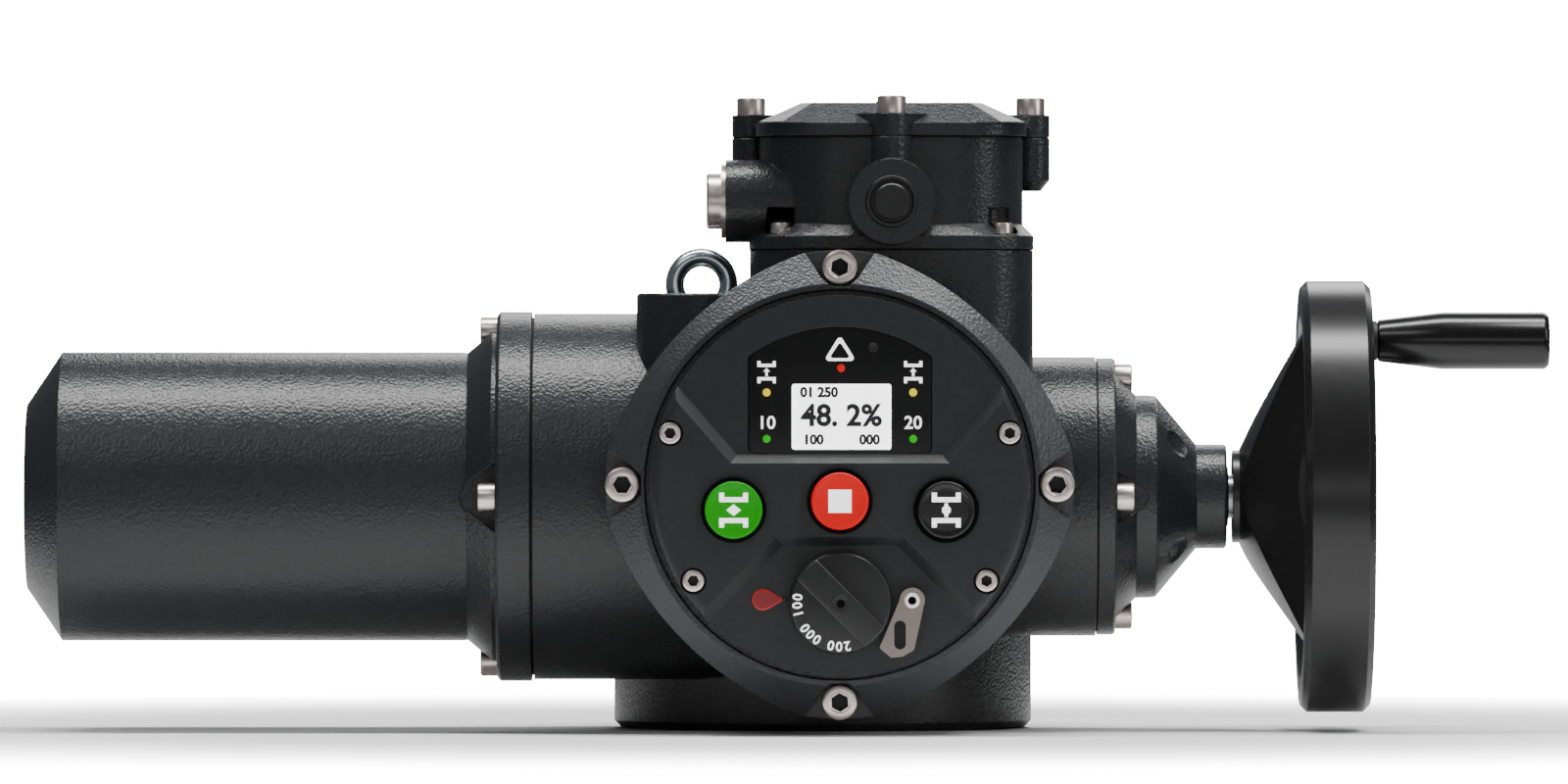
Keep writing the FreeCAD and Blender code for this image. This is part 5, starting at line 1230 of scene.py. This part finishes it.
class CarriedOver(SubAssembly):
    """CAD nodes whose shape is right, or that a new piece stands for."""

    def build(self, nodes: dict[str, Piece]) -> None:
        """Gives every CAD node the finish that lists it."""
        for finish in vars(Palette).values():
            if isinstance(finish, Finish):
                self.dress(nodes, finish, *finish.nodes.split())


@dataclass(frozen=True)
class Lamp:
    """A soft rectangular lamp: places and sizes in metres, power in watts."""

    name: str
    at: Place
    target: Place
    size: Spot
    power: float

    def build(self) -> None:
        """Hangs the lamp and turns it to its target."""
        Bench.clear()
        bpy.ops.object.light_add(type="AREA", location=self.at)
        lamp = Bench.active()
        lamp.name = self.name
        lamp.data.shape = "RECTANGLE"
        lamp.data.size, lamp.data.size_y = self.size
        lamp.data.energy = self.power
        lamp.rotation_euler = (Vector(self.target) - Vector(self.at)).to_track_quat("-Z", "Y").to_euler()


@dataclass
class Studio:
    """Floor, lights and camera."""

    floor_radius: float = 1.6
    floor_drop: float = -0.0005
    fade_start: float = 0.25
    fade_slope: float = 1.6
    white: float = 18.0
    soft: float = 0.12
    camera_at: Place = (-0.01795, -7.5, 0.155)
    lens: float = 371.25
    lamps: tuple[Lamp, ...] = (
        Lamp("key", (-1.1, -1.9, 1.9), (0.0, -0.1, 0.12), (1.4, 0.5), 7.0),
        Lamp("top", (0.0, -0.12, 1.6), (0.0, -0.07, 0.12), (2.0, 0.30), 44.0),
        Lamp("right", (1.9, -1.0, 0.9), (0.1, -0.1, 0.15), (0.6, 1.2), 9.0),
        Lamp("low_front", (0.3, -2.6, 0.35), (0.0, -0.1, 0.12), (2.2, 0.35), 3.0),
        Lamp("cover", (0.77, -0.68, 1.62), (0.0, -0.18, 0.17), (0.45, 0.45), 8.0),
        Lamp("back", (0.4, 1.8, 1.2), (0.0, 0.0, 0.15), (1.6, 0.8), 16.0),
    )

    def floor(self) -> None:
        """A pale floor that fades out with distance."""
        Bench.clear()
        bpy.ops.mesh.primitive_circle_add(
            vertices=96, radius=self.floor_radius, fill_type="NGON", location=(0, -0.07, self.floor_drop)
        )
        floor = Bench.named("floor")
        Bench.settle()
        graph = Graph(bpy.data.materials.new("pale_floor"))
        place = graph.place()
        away = graph.node("ShaderNodeVectorMath", {"operation": "LENGTH"}, {0: place})
        distance = Signal(graph, away.outputs["Value"])
        ramp = ((distance - self.fade_start) * self.fade_slope).limited(0.0, 1.0)
        share = ramp * ramp * ramp
        tone = graph.noise(place, 3.0, 2.0)
        paint = graph.node("ShaderNodeBsdfPrincipled", None, {
            "Base Color": graph.blend(tone, (0.86, 0.86, 0.86), (0.90, 0.90, 0.90)), "Roughness": 0.8})
        clear = graph.node("ShaderNodeBsdfTransparent")
        mixed = graph.node("ShaderNodeMixShader", None, {0: share, 1: paint.outputs[0], 2: clear.outputs[0]})
        floor.data.materials.append(graph.finish(mixed))
        floor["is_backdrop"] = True

    def world(self) -> None:
        """White behind the object, soft grey all round it."""
        graph = Graph(bpy.data.worlds.new("studio"))
        path = graph.node("ShaderNodeLightPath")
        seen = graph.node("ShaderNodeBackground", None, {0: (1.0, 1.0, 1.0, 1.0), 1: self.white})
        soft = graph.node("ShaderNodeBackground", None, {0: (0.92, 0.95, 1.0, 1.0), 1: self.soft})
        mixed = graph.node("ShaderNodeMixShader", None, {
            0: path.outputs["Is Camera Ray"], 1: soft.outputs[0], 2: seen.outputs[0],
        })
        bpy.context.scene.world = graph.finish(mixed, "ShaderNodeOutputWorld")

    def camera(self) -> None:
        """The photograph's view: level, square to the panel, from far away."""
        Bench.clear()
        bpy.ops.object.camera_add(location=self.camera_at, rotation=(QUARTER_TURN, 0.0, 0.0))
        camera = Bench.active()
        camera.name = "photo_camera"
        camera.data.lens = self.lens
        camera.data.sensor_width = 36.0
        camera.data.clip_start = 0.1
        camera.data.clip_end = 60.0
        bpy.context.scene.camera = camera

    def build(self) -> None:
        """Sets the stage."""
        self.floor()
        self.world()
        for lamp in self.lamps:
            lamp.build()
        self.camera()


def main() -> tuple[list[list[float]], list[list[float]]]:
    """Builds the scene around the frame.

    Returns:
        The CAD model's box and the visual model's box.
    """
    logging.basicConfig(level=logging.INFO, format="%(name)s: %(message)s")
    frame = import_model()
    cad_box = [list(corner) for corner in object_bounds()]
    Studio().build()
    CarriedOver().build(frame["nodes"])
    for group in (Fasteners, PushButtons, DisplayUnit, Selector, CrankGrip, LiftingEye, LidSeal):
        group().build()
    Bench.clear()
    return cad_box, [list(corner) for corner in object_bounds()]


if __name__ == "__main__":
    boxes = main()
